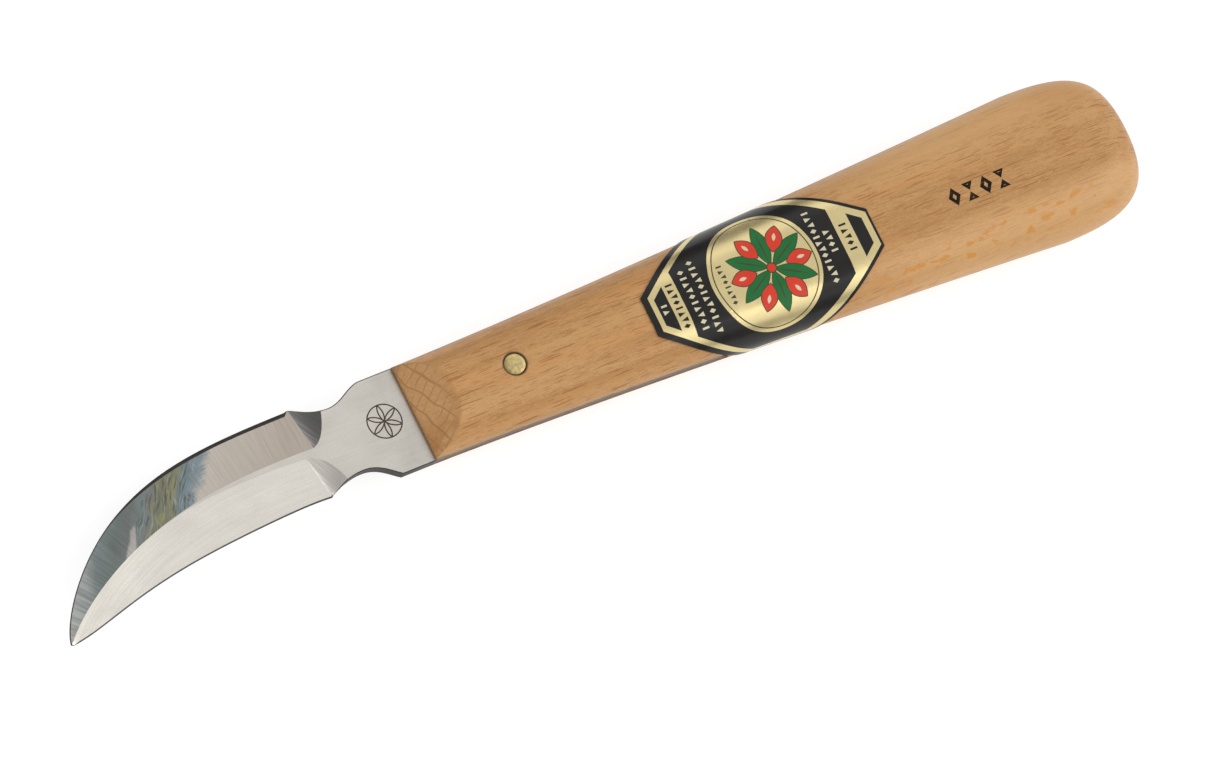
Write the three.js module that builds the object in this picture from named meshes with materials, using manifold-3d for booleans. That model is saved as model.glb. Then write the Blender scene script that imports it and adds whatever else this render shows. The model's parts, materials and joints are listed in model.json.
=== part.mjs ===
// Chip carving knife: a downward-curved blade with a full-height tang, slotted into a one-piece beech
// handle, held by one brass pin, with a foil label wrapped over the handle's middle.
// Millimetres. The knife lies on its side: +X runs from the tip to the butt, +Y to the blade's back,
// +Z up through the handle's thickness. While the pieces are made, x = 0 is the handle's front end,
// y = 0 its axis and z = 0 the middle of its thickness; the last lines move the origin to the
// middle of the surface that the knife lies on.
import * as THREE from "three";
import { mergeVertices } from "three/addons/utils/BufferGeometryUtils.js";
import Module from "manifold-3d";

const wasm = await Module();
wasm.setup();

// ---- driving dimensions ----

// handle
const HANDLE_LENGTH = 113.8;
const HANDLE_THICK = 11.4;
const FRONT_BACKSIDE = 7.35; // half widths at the front end, on the side of the blade's back ...
const FRONT_EDGESIDE = 7.5; // ... and on the side of its cutting edge
const WIDEST_BACKSIDE = 11.1;
const WIDEST_EDGESIDE = 11.7;
const BUTT_LENGTH = 15; // from the widest place to the end
const BUTT_BACKSIDE = [0.7, 0.84]; // how full the butt's two corners are, along and across
const BUTT_EDGESIDE = [0.74, 0.79];
const FLARE = 1.45; // how late the sides flare out: 1 is straight
const SIDE_ROUND = 6.4; // how far the rounding of the sides reaches in over the flat
const FACET_LENGTH = 5.3; // sloping front facets, cut across the end grain
const FRONT_FLAT = 3.2; // thickness that the facets leave at the front end

// blade
const STOCK = 1.8;
const BLADE_LENGTH = 59.8; // from the handle to the tip
const TIP_DROP = 12.6; // tip below the handle's axis
const RICASSO_BACK = 7.1;
const RICASSO_EDGE = 7.36;
const SPINE_THICK = 0.7; // what the back bevel leaves at the plunge
const SPINE_THICK_TIP = 0.3;
const EDGE_THICK = 0.12;
const RIDGE_THICK_TIP = 0.35;
const TANG_LENGTH = 45;

// joint of tang and handle
const KERF_CLEARANCE = 0.05; // on each face of the tang
const KERF_SPARE = 1.6; // slot beyond the tang's end
const SAW_RADIUS = 60;
const PIN_DIAMETER = 3.25;
const PIN_X = 15;
const PIN_CHAMFER = 0.25;
const PIN_RECESS = 0.03;
const PIN_CLEARANCE = 0.04;

// label
const LABEL_LENGTH = 36;
const LABEL_GIRTH = 24.8; // measured round the handle
const LABEL_END = 5.9; // its short ends
const LABEL_SLANT = 0.74; // how steeply its four cut corners run
const LABEL_X = 53.8;
const LABEL_SHIFT = -1.02; // its middle, round the handle towards the cutting edge
const LABEL_THICK = 0.12;
const LABEL_GAP = 0.1;
const LABEL_FACET = 1; // largest facet of its curved faces

const HALF_THICK = HANDLE_THICK / 2;
const HALF_STOCK = STOCK / 2;
const WIDEST_X = HANDLE_LENGTH - BUTT_LENGTH;

// ---- curves ----

// A point of the Bezier curve of any degree, by repeated halfway points.
function bezier(points, t) {
  let level = points;
  while (level.length > 1) {
    level = level.slice(1).map((p, i) => [
      THREE.MathUtils.lerp(level[i][0], p[0], t),
      THREE.MathUtils.lerp(level[i][1], p[1], t),
    ]);
  }
  return level[0];
}

function bezierPoints(points, count) {
  return Array.from({ length: count + 1 }, (_, i) => bezier(points, i / count));
}

// Half width of the handle at x, on the back's side (+1) or the edge's side (-1).
function handleHalfWidth(x, side) {
  const front = side > 0 ? FRONT_BACKSIDE : FRONT_EDGESIDE;
  const widest = side > 0 ? WIDEST_BACKSIDE : WIDEST_EDGESIDE;
  return front + (widest - front) * Math.pow(Math.max(x, 0) / WIDEST_X, FLARE);
}

// ---- solids ----

function solidFrom(geometry) {
  const bare = geometry.clone();
  bare.deleteAttribute("normal");
  bare.deleteAttribute("uv");
  const merged = mergeVertices(bare, 1e-3);
  return new wasm.Manifold(
    new wasm.Mesh({
      numProp: 3,
      vertProperties: merged.attributes.position.array,
      triVerts: new Uint32Array(merged.index.array),
    }),
  );
}

function geometryFrom(solid) {
  const mesh = solid.getMesh();
  const geometry = new THREE.BufferGeometry();
  geometry.setAttribute("position", new THREE.BufferAttribute(mesh.vertProperties, 3));
  geometry.setIndex(new THREE.BufferAttribute(mesh.triVerts, 1));
  return geometry.toNonIndexed();
}

// An outline in x and z, drawn out along Y over the whole width.
function acrossHandle(outline) {
  const width = 4 * (WIDEST_BACKSIDE + WIDEST_EDGESIDE);
  const geometry = new THREE.ExtrudeGeometry(new THREE.Shape(outline), {
    depth: width,
    bevelEnabled: false,
  });
  return geometry.rotateX(Math.PI / 2).translate(0, width / 2, 0);
}

function pinBore(radius) {
  const geometry = new THREE.CylinderGeometry(radius, radius, 2 * HANDLE_THICK, 40);
  return geometry.rotateX(Math.PI / 2).translate(PIN_X, 0, 0);
}

// A closed plate from rows of stations across it. Each station has a top and a bottom point.
function plate(rows) {
  const columns = rows[0].length;
  const vertices = rows.flat().flatMap(({ top, bottom }) => [...top, ...bottom]);
  const at = (row, column, below) => 2 * (row * columns + column) + below;
  const index = [];
  const apart = (a, b) =>
    Math.hypot(...[0, 1, 2].map((axis) => vertices[3 * a + axis] - vertices[3 * b + axis]));
  // a quad is split along its shorter diagonal, which keeps a curved face close to its true surface
  const quad = (a, b, c, d) => {
    const split = apart(a, c) <= apart(b, d) ? [a, b, c, a, c, d] : [a, b, d, b, c, d];
    index.push(...split);
  };
  for (let r = 0; r + 1 < rows.length; r++) {
    for (let c = 0; c + 1 < columns; c++) {
      quad(at(r, c, 0), at(r + 1, c, 0), at(r + 1, c + 1, 0), at(r, c + 1, 0));
      quad(at(r, c, 1), at(r, c + 1, 1), at(r + 1, c + 1, 1), at(r + 1, c, 1));
    }
    quad(at(r, 0, 0), at(r, 0, 1), at(r + 1, 0, 1), at(r + 1, 0, 0));
    const last = columns - 1;
    quad(at(r, last, 0), at(r + 1, last, 0), at(r + 1, last, 1), at(r, last, 1));
  }
  const end = rows.length - 1;
  for (let c = 0; c + 1 < columns; c++) {
    quad(at(0, c, 0), at(0, c + 1, 0), at(0, c + 1, 1), at(0, c, 1));
    quad(at(end, c, 0), at(end, c, 1), at(end, c + 1, 1), at(end, c + 1, 0));
  }
  const geometry = new THREE.BufferGeometry();
  geometry.setAttribute("position", new THREE.Float32BufferAttribute(vertices, 3));
  geometry.setIndex(index);
  return geometry;
}

// ---- handle ----

function handleOutline() {
  const stations = 18;
  const overrun = 6; // drawn past the front end, where it is cut off square
  const sideAt = (side) =>
    Array.from({ length: stations + 1 }, (_, i) => {
      const x = -overrun + ((WIDEST_X + overrun) * i) / stations;
      return [x, side * handleHalfWidth(x, side)];
    });
  // from the widest place round the corner to the middle of the butt, square to the axis there
  const buttAt = (side, widest, [along, across]) =>
    bezierPoints(
      [
        [WIDEST_X, side * widest],
        [WIDEST_X + along * BUTT_LENGTH, side * widest],
        [HANDLE_LENGTH, side * widest * across],
        [HANDLE_LENGTH, 0],
      ],
      12,
    );
  const backSide = [...sideAt(1), ...buttAt(1, WIDEST_BACKSIDE, BUTT_BACKSIDE).slice(1)];
  const edgeSide = [...sideAt(-1), ...buttAt(-1, WIDEST_EDGESIDE, BUTT_EDGESIDE).slice(1, -1)];
  return [...edgeSide, ...backSide.reverse()].map(([x, y]) => new THREE.Vector2(x, y));
}

function handleGeometry() {
  const flatDepth = 0.02;
  const rounding = HALF_THICK - flatDepth / 2;
  const body = new THREE.ExtrudeGeometry(new THREE.Shape(handleOutline()), {
    depth: flatDepth,
    bevelThickness: rounding,
    bevelSize: SIDE_ROUND,
    bevelOffset: -SIDE_ROUND,
    bevelSegments: 9,
  }).translate(0, 0, -flatDepth / 2);

  // everything in front of the two facets and the narrow front end between them
  const reach = HANDLE_THICK;
  const slope = FACET_LENGTH / (HALF_THICK - FRONT_FLAT / 2);
  const facetReach = slope * (reach - FRONT_FLAT / 2);
  const front = acrossHandle([
    new THREE.Vector2(-3 * reach, -reach),
    new THREE.Vector2(facetReach, -reach),
    new THREE.Vector2(0, -FRONT_FLAT / 2),
    new THREE.Vector2(0, FRONT_FLAT / 2),
    new THREE.Vector2(facetReach, reach),
    new THREE.Vector2(-3 * reach, reach),
  ]);

  // the saw kerf that takes the tang: open at the front and along both sides, round at its end
  const kerfEnd = TANG_LENGTH + KERF_SPARE;
  const halfSpread = Math.PI / 6;
  const halfKerf = SAW_RADIUS * Math.sin(halfSpread);
  const kerfOutline = new THREE.Shape();
  kerfOutline.absarc(kerfEnd - SAW_RADIUS, 0, SAW_RADIUS, -halfSpread, halfSpread, false);
  kerfOutline.lineTo(-FACET_LENGTH, halfKerf);
  kerfOutline.lineTo(-FACET_LENGTH, -halfKerf);
  const kerfThick = STOCK + 2 * KERF_CLEARANCE;
  const kerf = new THREE.ExtrudeGeometry(kerfOutline, {
    depth: kerfThick,
    bevelEnabled: false,
    curveSegments: 40,
  }).translate(0, 0, -kerfThick / 2);

  const cut = [front, kerf, pinBore(PIN_DIAMETER / 2 + PIN_CLEARANCE)];
  return geometryFrom(cut.reduce((solid, tool) => solid.subtract(solidFrom(tool)), solidFrom(body)));
}

// ---- blade ----

const TIP = [-BLADE_LENGTH, -TIP_DROP];
const BACK_CORNER = [-16.2, 7.12]; // where the bevels end and the notches begin
const EDGE_CORNER = [-15.9, -6.68];
const RIDGE_END = [-15.4, 0.7];
const STRIP_WIDTH = 1.2; // flat strip left between the bevels at the plunge
const BACK_NOTCH = [-10.9, 5.12]; // deepest places of the two notches
const EDGE_NOTCH = [-10.3, -4.82];
const RICASSO_FRONT = -5.2; // where the ricasso has its full height

// the three long lines of the blade, from the tip to the plunge, as Bezier curves
const BACK_LINE = [TIP, [-59.1, -7.6], [-46.9, 6.2], [-37.6, 7.0], BACK_CORNER];
const RIDGE_LINE = [TIP, [-55.18, -7.15], [-42.19, 0.24], [-30.56, 1.06], RIDGE_END];
const EDGE_LINE = [TIP, [-51.83, -12.1], [-43.88, -6.29], [-32.1, -8.17], [-23.77, -6.08], EDGE_CORNER];

// one station across the blade: the cutting edge, both borders of the flat strip, and the back
function station(edge, stripLow, stripHigh, back, thick) {
  const bevelSteps = 3;
  const row = [];
  const span = (a, b, thickA, thickB, from) => {
    for (let i = from; i <= bevelSteps; i++) {
      const t = i / bevelSteps;
      const x = THREE.MathUtils.lerp(a[0], b[0], t);
      const y = THREE.MathUtils.lerp(a[1], b[1], t);
      const z = THREE.MathUtils.lerp(thickA, thickB, t) / 2;
      row.push({ top: [x, y, z], bottom: [x, y, -z] });
    }
  };
  span(edge, stripLow, thick.edge, thick.ridge, 0);
  span(stripLow, stripHigh, thick.ridge, thick.ridge, 1);
  span(stripHigh, back, thick.ridge, thick.back, 1);
  return row;
}

function bevelledRows() {
  const steps = 30;
  const tipSkip = 0.012; // the tip is a hair blunt
  const fullRidge = 0.4; // the ridge is at full stock from here to the handle
  const stripStart = 0.55;
  const rows = [];
  for (let i = 0; i <= steps; i++) {
    const t = tipSkip + ((1 - tipSkip) * i) / steps;
    const rise = 1 - Math.pow(1 - Math.min(t / fullRidge, 1), 2);
    const ridge = bezier(RIDGE_LINE, t);
    const stripHalf = (STRIP_WIDTH / 2) * Math.max(0.02, (t - stripStart) / (1 - stripStart));
    rows.push(
      station(
        bezier(EDGE_LINE, t),
        [ridge[0], ridge[1] - 2 * stripHalf],
        ridge,
        bezier(BACK_LINE, t),
        {
          edge: EDGE_THICK,
          ridge: THREE.MathUtils.lerp(RIDGE_THICK_TIP, STOCK, rise),
          back: THREE.MathUtils.lerp(SPINE_THICK_TIP, SPINE_THICK, t),
        },
      ),
    );
  }
  return rows;
}

// the notches and the ricasso, flat at full stock, from the plunge to the handle
function ricassoRows() {
  const [bx, by] = BACK_CORNER;
  const [nx, ny] = BACK_NOTCH;
  const [ex, ey] = EDGE_CORNER;
  const [mx, my] = EDGE_NOTCH;
  const backLine = [
    ...bezierPoints([[bx, by], [bx + 1.5, by - 0.67], [nx - 2.4, ny], [nx, ny]], 8),
    ...bezierPoints(
      [[nx, ny], [nx + 2.3, ny], [RICASSO_FRONT - 2, RICASSO_BACK - 0.2], [RICASSO_FRONT, RICASSO_BACK]],
      8,
    ).slice(1),
  ];
  const edgeLine = [
    ...bezierPoints([[ex, ey], [ex + 1.1, ey + 0.8], [mx - 2.5, my], [mx, my]], 8),
    ...bezierPoints(
      [[mx, my], [mx + 2.4, my], [RICASSO_FRONT - 1.4, 1 - RICASSO_EDGE], [RICASSO_FRONT, -RICASSO_EDGE]],
      8,
    ).slice(1),
  ];
  const plungeStations = 4; // the first stations lie on the bevels' run-out
  const rows = [];
  for (let i = 1; i < backLine.length; i++) {
    const back = backLine[i];
    const edge = edgeLine[i];
    const mid = (i - 1) / (backLine.length - 1);
    const ridgeX = THREE.MathUtils.lerp(RIDGE_END[0] + 0.5, RICASSO_FRONT, mid);
    const rise = Math.min(i / plungeStations, 1);
    const thick = {
      edge: THREE.MathUtils.lerp(EDGE_THICK, STOCK, rise),
      ridge: STOCK,
      back: THREE.MathUtils.lerp(SPINE_THICK, STOCK, rise),
    };
    const strip = STRIP_WIDTH * (1 - mid);
    const centre = RIDGE_END[1] * (1 - mid);
    rows.push(station(edge, [ridgeX, centre - strip], [ridgeX, centre], back, thick));
  }
  return rows;
}

// the tang, flush with the handle's rounded sides along both of its long edges
function tangRows() {
  const steps = 10;
  const shoulder = 0.4; // over which the ricasso's height runs out to the tang's
  const roundIn = SIDE_ROUND * (1 - Math.sqrt(1 - (HALF_STOCK / HALF_THICK) ** 2));
  const full = { edge: STOCK, ridge: STOCK, back: STOCK };
  const atHandle = station([0, -RICASSO_EDGE], [0, -0.1], [0, 0], [0, RICASSO_BACK], full);
  const rows = [atHandle];
  for (let i = 0; i <= steps; i++) {
    const x = THREE.MathUtils.lerp(shoulder, TANG_LENGTH, i / steps);
    const back = handleHalfWidth(x, 1) - roundIn;
    const edge = handleHalfWidth(x, -1) - roundIn;
    rows.push(station([x, -edge], [x, -0.1], [x, 0], [x, back], full));
  }
  return rows;
}

function bladeGeometry() {
  const body = solidFrom(plate([...bevelledRows(), ...ricassoRows(), ...tangRows()]));
  return geometryFrom(body.subtract(solidFrom(pinBore(PIN_DIAMETER / 2 + PIN_CLEARANCE))));
}

// ---- pin ----

function pinGeometry() {
  const radius = PIN_DIAMETER / 2;
  const half = HALF_THICK - PIN_RECESS;
  const profile = [
    new THREE.Vector2(0, -half),
    new THREE.Vector2(radius - PIN_CHAMFER, -half),
    new THREE.Vector2(radius, PIN_CHAMFER - half),
    new THREE.Vector2(radius, half - PIN_CHAMFER),
    new THREE.Vector2(radius - PIN_CHAMFER, half),
    new THREE.Vector2(0, half),
  ];
  return new THREE.LatheGeometry(profile, 40).rotateX(Math.PI / 2);
}

// ---- label ----

// The place on the handle's surface at x, a distance round the section from its axis, and proud of it.
function onHandle(x, round, proud) {
  const side = Math.sign(round) || 1;
  const flat = handleHalfWidth(x, side) - SIDE_ROUND;
  const along = Math.abs(round) - flat;
  if (along <= 0) {
    return [x, round, HALF_THICK + proud];
  }
  // walk down the elliptical side until the arc is used up
  const steps = 200;
  const step = Math.PI / steps;
  let angle = 0;
  let walked = 0;
  while (walked < along) {
    walked += step * Math.hypot(SIDE_ROUND * Math.cos(angle), HALF_THICK * Math.sin(angle));
    angle += step;
  }
  const ny = Math.sin(angle) / SIDE_ROUND;
  const nz = Math.cos(angle) / HALF_THICK;
  const scale = proud / Math.hypot(ny, nz);
  return [
    x,
    side * (flat + SIDE_ROUND * Math.sin(angle) + ny * scale),
    HALF_THICK * Math.cos(angle) + nz * scale,
  ];
}

function labelGeometry() {
  const half = LABEL_LENGTH / 2;
  const lengthways = Math.ceil(LABEL_LENGTH / LABEL_FACET);
  const acrossSteps = Math.ceil(LABEL_GIRTH / LABEL_FACET);
  const rows = [];
  for (let i = 0; i <= lengthways; i++) {
    const along = -half + (LABEL_LENGTH * i) / lengthways;
    const slanted = LABEL_END / 2 + LABEL_SLANT * (half - Math.abs(along));
    const reach = Math.min(LABEL_GIRTH / 2, slanted);
    const row = [];
    for (let j = 0; j <= acrossSteps; j++) {
      const round = LABEL_SHIFT + reach * ((2 * j) / acrossSteps - 1);
      row.push({
        top: onHandle(LABEL_X + along, round, LABEL_GAP + LABEL_THICK),
        bottom: onHandle(LABEL_X + along, round, LABEL_GAP),
      });
    }
    rows.push(row);
  }
  return plate(rows);
}

// ---- assembly ----

function piece(name, geometry, colour, roughness, metalness) {
  geometry.computeVertexNormals();
  const material = new THREE.MeshStandardMaterial({ color: colour, roughness, metalness });
  const mesh = new THREE.Mesh(geometry, material);
  mesh.name = name;
  return mesh;
}

const knife = new THREE.Group();
knife.add(
  piece("blade", bladeGeometry(), 0xb9b6b0, 0.25, 1),
  piece("handle", handleGeometry(), 0xd3a071, 0.55, 0),
  piece("rivet", pinGeometry().translate(PIN_X, 0, 0), 0xcfa552, 0.3, 1),
  piece("label", labelGeometry(), 0x1c1a18, 0.35, 0),
);

// the origin goes to the middle of the knife's box, on the surface that it lies on
const box = new THREE.Box3().setFromObject(knife);
const centre = box.getCenter(new THREE.Vector3());
knife.position.set(-centre.x, -centre.y, -box.min.z);

export default knife;
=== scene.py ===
"""A chip carving knife: ground steel blade, beech handle, brass pin and wrapped foil label.

Every piece is built in millimetres in the knife's own frame, where x = 0 is the handle's front end,
y = 0 the handle's axis and z = 0 the middle of its thickness, and is then placed in the CAD frame.
"""

import json
from math import ceil, cos, pi, radians, sin, sqrt

import bmesh
import bpy
import numpy as np
from mathutils import Matrix, Vector
from mathutils.geometry import delaunay_2d_cdt

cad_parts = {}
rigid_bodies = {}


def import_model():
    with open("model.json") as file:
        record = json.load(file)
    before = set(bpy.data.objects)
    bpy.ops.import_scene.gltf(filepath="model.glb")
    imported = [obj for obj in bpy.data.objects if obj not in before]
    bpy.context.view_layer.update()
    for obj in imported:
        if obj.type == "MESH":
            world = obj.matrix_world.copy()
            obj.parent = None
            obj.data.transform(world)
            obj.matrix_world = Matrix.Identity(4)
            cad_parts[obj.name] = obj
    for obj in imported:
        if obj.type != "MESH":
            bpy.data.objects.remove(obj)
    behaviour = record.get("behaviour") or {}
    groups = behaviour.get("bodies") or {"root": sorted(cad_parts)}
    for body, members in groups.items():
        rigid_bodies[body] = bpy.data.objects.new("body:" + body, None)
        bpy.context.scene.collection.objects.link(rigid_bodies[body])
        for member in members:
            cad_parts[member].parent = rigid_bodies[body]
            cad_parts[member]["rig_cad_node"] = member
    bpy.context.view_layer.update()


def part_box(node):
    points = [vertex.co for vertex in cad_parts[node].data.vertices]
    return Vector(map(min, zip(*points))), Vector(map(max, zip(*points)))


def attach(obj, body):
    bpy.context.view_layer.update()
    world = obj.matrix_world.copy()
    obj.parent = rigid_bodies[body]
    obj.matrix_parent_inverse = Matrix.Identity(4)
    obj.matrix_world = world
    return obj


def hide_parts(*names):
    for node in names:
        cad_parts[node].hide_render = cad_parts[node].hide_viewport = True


bl_info = {
    "name": "Chip Carving Knife",
    "version": (1, 0, 0),
    "blender": (4, 5, 0),
    "location": "View3D > Sidebar > Carving Knife",
    "description": "Builds a chip carving knife around its CAD frame",
    "category": "Add Mesh",
}

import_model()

BODY = "root"
MM = 0.001


def node_box(name):
    """Lowest and highest corner of a CAD node, in millimetres."""
    low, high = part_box(name)
    return np.array(low) / MM, np.array(high) / MM


handle_low, handle_high = node_box("handle")
blade_low, blade_high = node_box("blade")
pin_low, pin_high = node_box("rivet")
label_low, label_high = node_box("label")

# the knife's own frame inside the CAD frame
FRONT_X = handle_low[0]
AXIS_Y = (pin_low[1] + pin_high[1]) / 2
MID_Z = (handle_low[2] + handle_high[2]) / 2
DATUM = np.array([FRONT_X, AXIS_Y, MID_Z])

# handle, in millimetres
HANDLE_LENGTH = handle_high[0] - FRONT_X
HALF_THICK = (handle_high[2] - handle_low[2]) / 2
WIDEST_BACKSIDE = handle_high[1] - AXIS_Y
WIDEST_EDGESIDE = AXIS_Y - handle_low[1]
FRONT_BACKSIDE = 7.35
FRONT_EDGESIDE = 7.5
BUTT_LENGTH = 15
BUTT_BACKSIDE = (0.7, 0.84)
BUTT_EDGESIDE = (0.74, 0.79)
WIDEST_X = HANDLE_LENGTH - BUTT_LENGTH
FLARE = 1.45
SIDE_ROUND = 6.4
FACET_LENGTH = 5.3
FRONT_FLAT = 3.2

# blade
HALF_STOCK = (blade_high[2] - blade_low[2]) / 2
TANG_LENGTH = blade_high[0] - FRONT_X
RICASSO_BACK = 7.1
RICASSO_EDGE = 7.36

# pin
PIN_RADIUS = (pin_high[0] - pin_low[0]) / 2
PIN_X = (pin_high[0] + pin_low[0]) / 2 - FRONT_X

# label
LABEL_LENGTH = label_high[0] - label_low[0]
LABEL_X = (label_high[0] + label_low[0]) / 2 - FRONT_X
LABEL_GIRTH = 24.8
LABEL_END = 5.9
LABEL_SLANT = 0.74
LABEL_SHIFT = -1.02
LABEL_GAP = 0.1
LABEL_THICK = 0.12

# fits, as in the CAD
KERF_CLEARANCE = 0.05
KERF_SPARE = 1.6
SAW_RADIUS = 60.0
PIN_CLEARANCE = 0.04


# ---------------------------------------------------------------- curves and outlines


def bezier(points, t):
    """Points of the Bezier curve of any degree at the values t, by repeated interpolation."""
    level = [np.asarray(p, float) for p in points]
    t = np.atleast_1d(t)[:, None]
    level = [np.broadcast_to(p, (len(t), len(p))) for p in level]
    while len(level) > 1:
        level = [a + (b - a) * t for a, b in zip(level, level[1:])]
    return level[0]


def handle_half_width(x, side):
    """Half width of the handle at x, on the back's side (+1) or the edge's side (-1)."""
    front = np.where(np.asarray(side) > 0, FRONT_BACKSIDE, FRONT_EDGESIDE)
    widest = np.where(np.asarray(side) > 0, WIDEST_BACKSIDE, WIDEST_EDGESIDE)
    return front + (widest - front) * (np.maximum(x, 0) / WIDEST_X) ** FLARE


def handle_outline(along, round_butt, overrun):
    """The handle's plan outline, open at the front: edge side, butt, back side."""
    x = np.linspace(-overrun, WIDEST_X, along)
    t = np.linspace(0, 1, round_butt)

    def half(side, widest, full_along, full_across):
        sides = np.column_stack([x, side * handle_half_width(x, side)])
        butt = bezier(
            [
                (WIDEST_X, side * widest),
                (WIDEST_X + full_along * BUTT_LENGTH, side * widest),
                (HANDLE_LENGTH, side * widest * full_across),
                (HANDLE_LENGTH, 0),
            ],
            t,
        )
        return np.vstack([sides, butt[1:]])

    edge_side = half(-1, WIDEST_EDGESIDE, *BUTT_EDGESIDE)
    back_side = half(1, WIDEST_BACKSIDE, *BUTT_BACKSIDE)
    return np.vstack([edge_side, back_side[::-1][1:]])


# half the section's rounded side: arc length walked for each angle, to place things round it
_angles = np.linspace(0, 1.25 * pi, 700)
_middles = (_angles[1:] + _angles[:-1]) / 2
_steps = np.hypot(SIDE_ROUND * np.cos(_middles), HALF_THICK * np.sin(_middles)) * np.diff(_angles)
ARC_WALK = np.concatenate([[0], np.cumsum(_steps)])


def on_handle(x, around, proud):
    """Places on the handle's surface, a distance round the section from its axis, and proud of it."""
    x, around = np.asarray(x, float), np.asarray(around, float)
    side = np.where(around < 0, -1.0, 1.0)
    flat = handle_half_width(x, side) - SIDE_ROUND
    walked = np.maximum(np.abs(around) - flat, 0)
    angle = np.interp(walked, ARC_WALK, _angles)
    normal_y, normal_z = np.sin(angle) / SIDE_ROUND, np.cos(angle) / HALF_THICK
    scale = proud / np.hypot(normal_y, normal_z)
    y = side * (np.minimum(np.abs(around), flat) + SIDE_ROUND * np.sin(angle) + normal_y * scale)
    z = HALF_THICK * np.cos(angle) + normal_z * scale
    return np.column_stack([x, y, z])


# ---------------------------------------------------------------- meshes


def inside(points, polygon):
    """Which points lie inside a closed polygon, by the even-odd rule."""
    px, py = points[:, 0], points[:, 1]
    ax, ay = polygon[:, 0], polygon[:, 1]
    bx, by = np.roll(ax, -1), np.roll(ay, -1)
    hits = np.zeros(len(points), int)
    for x0, y0, x1, y1 in zip(ax, ay, bx, by):
        crosses = (y0 > py) != (y1 > py)
        if crosses.any():
            at = x0 + (py - y0) / ((y1 - y0) or 1e-12) * (x1 - x0)
            hits += crosses & (px < at)
    return hits % 2 == 1


def triangulate(loops, lines=(), points=()):
    """Vertices and triangles of a plane region, with every loop and line kept as edges.

    The first loop is the region's outline.
    """
    verts, edges = [], []
    for loop in loops:
        start = len(verts)
        verts += [Vector(p) for p in loop]
        edges += [(start + i, start + (i + 1) % len(loop)) for i in range(len(loop))]
    for line in lines:
        start = len(verts)
        verts += [Vector(p) for p in line]
        edges += [(start + i, start + i + 1) for i in range(len(line) - 1)]
    verts += [Vector(p) for p in points]
    out_verts, _, out_faces, *_ = delaunay_2d_cdt(verts, edges, [], 0, 1e-5)
    flat = np.array([tuple(v) for v in out_verts])
    faces = np.array([tuple(f) for f in out_faces])
    keep = inside(flat[faces].mean(axis=1), np.asarray(loops[0]))
    return flat, faces[keep]


class Shell:
    """Collects patches of a surface, then joins them into one mesh."""

    def __init__(self):
        self.points = []
        self.faces = []
        self.slots = []
        self.patches = []
        self.count = 0

    def add(self, points, faces, slot):
        start = sum(len(p) for p in self.points)
        self.points.append(np.asarray(points, float))
        self.faces += [tuple(start + i for i in face) for face in faces]
        self.slots += [slot] * len(faces) if np.isscalar(slot) else list(slot)
        self.patches += [self.count] * len(faces)
        self.count += 1

    def grid(self, points, slot):
        """A patch of quads from an array of rows, columns and 3 coordinates."""
        rows, columns = points.shape[:2]
        r, c = np.meshgrid(np.arange(rows - 1), np.arange(columns - 1), indexing="ij")
        a = (r * columns + c).ravel()
        faces = np.column_stack([a, a + columns, a + columns + 1, a + 1])
        self.add(points.reshape(-1, 3), faces, slot)

    def build(self, merge=2e-4):
        """A bmesh in millimetres, with each face's patch stored so that seams between patches can be
        marked sharp.
        """
        bm = bmesh.new()
        patch_layer = bm.faces.layers.int.new("patch")
        verts = [bm.verts.new(p) for p in np.vstack(self.points)]
        for corners, slot, patch in zip(self.faces, self.slots, self.patches):
            face = bm.faces.new([verts[i] for i in corners])
            face.material_index = int(slot)
            face[patch_layer] = patch
        bmesh.ops.remove_doubles(bm, verts=bm.verts, dist=merge)
        bmesh.ops.dissolve_degenerate(bm, edges=bm.edges, dist=merge / 4)
        return bm


def thicken(bm, move, wall_slot, wall_patch=900):
    """Closes an open surface: move() gives each vertex its twin below, and walls join the rims."""
    layer = bm.faces.layers.int["patch"]
    top_faces = list(bm.faces)
    rim = [e for e in bm.edges if e.is_boundary]
    below = {v: bm.verts.new(move(v)) for v in list(bm.verts)}
    for face in top_faces:
        twin = bm.faces.new([below[v] for v in reversed(face.verts)])
        twin.material_index = face.material_index
        twin[layer] = face[layer] + 1000
    for edge in rim:
        loop = edge.link_loops[0]
        a, b = loop.vert, loop.link_loop_next.vert
        wall = bm.faces.new([b, a, below[a], below[b]])
        wall.material_index = wall_slot
        wall[layer] = wall_patch


def mark_sharp(bm, angle, seams=True):
    """Smooth faces everywhere, sharp over an angle and, if asked, where patches meet."""
    layer = bm.faces.layers.int.get("patch")
    for face in bm.faces:
        face.smooth = True
    for edge in bm.edges:
        if len(edge.link_faces) != 2:
            edge.smooth = False
            continue
        one, two = edge.link_faces
        turned = edge.calc_face_angle(0) > angle
        seam = seams and layer is not None and one[layer] != two[layer]
        edge.smooth = not (turned or seam)


def to_object(bm, name, materials):
    """Places a bmesh of knife millimetres in the CAD frame and makes it an object."""
    bmesh.ops.scale(bm, vec=(MM, MM, MM), verts=bm.verts)
    bmesh.ops.translate(bm, vec=DATUM * MM, verts=bm.verts)
    bmesh.ops.recalc_face_normals(bm, faces=bm.faces)
    mesh = bpy.data.meshes.new(name)
    bm.to_mesh(mesh)
    bm.free()
    for material in materials:
        mesh.materials.append(material)
    obj = bpy.data.objects.new(name, mesh)
    bpy.context.scene.collection.objects.link(obj)
    return obj


def finish_piece(obj, slot, *nodes):
    """Ties a piece to the knife's one body and hides the CAD nodes it stands for; its material slot is
    not used.
    """
    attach(obj, BODY)
    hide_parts(*nodes)


def make_again(name):
    """Removes an earlier copy of a piece, so that an operator can be run twice."""
    old = bpy.data.objects.get(name)
    if old is not None and not old.get("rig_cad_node"):
        bpy.data.objects.remove(old, do_unlink=True)


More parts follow.
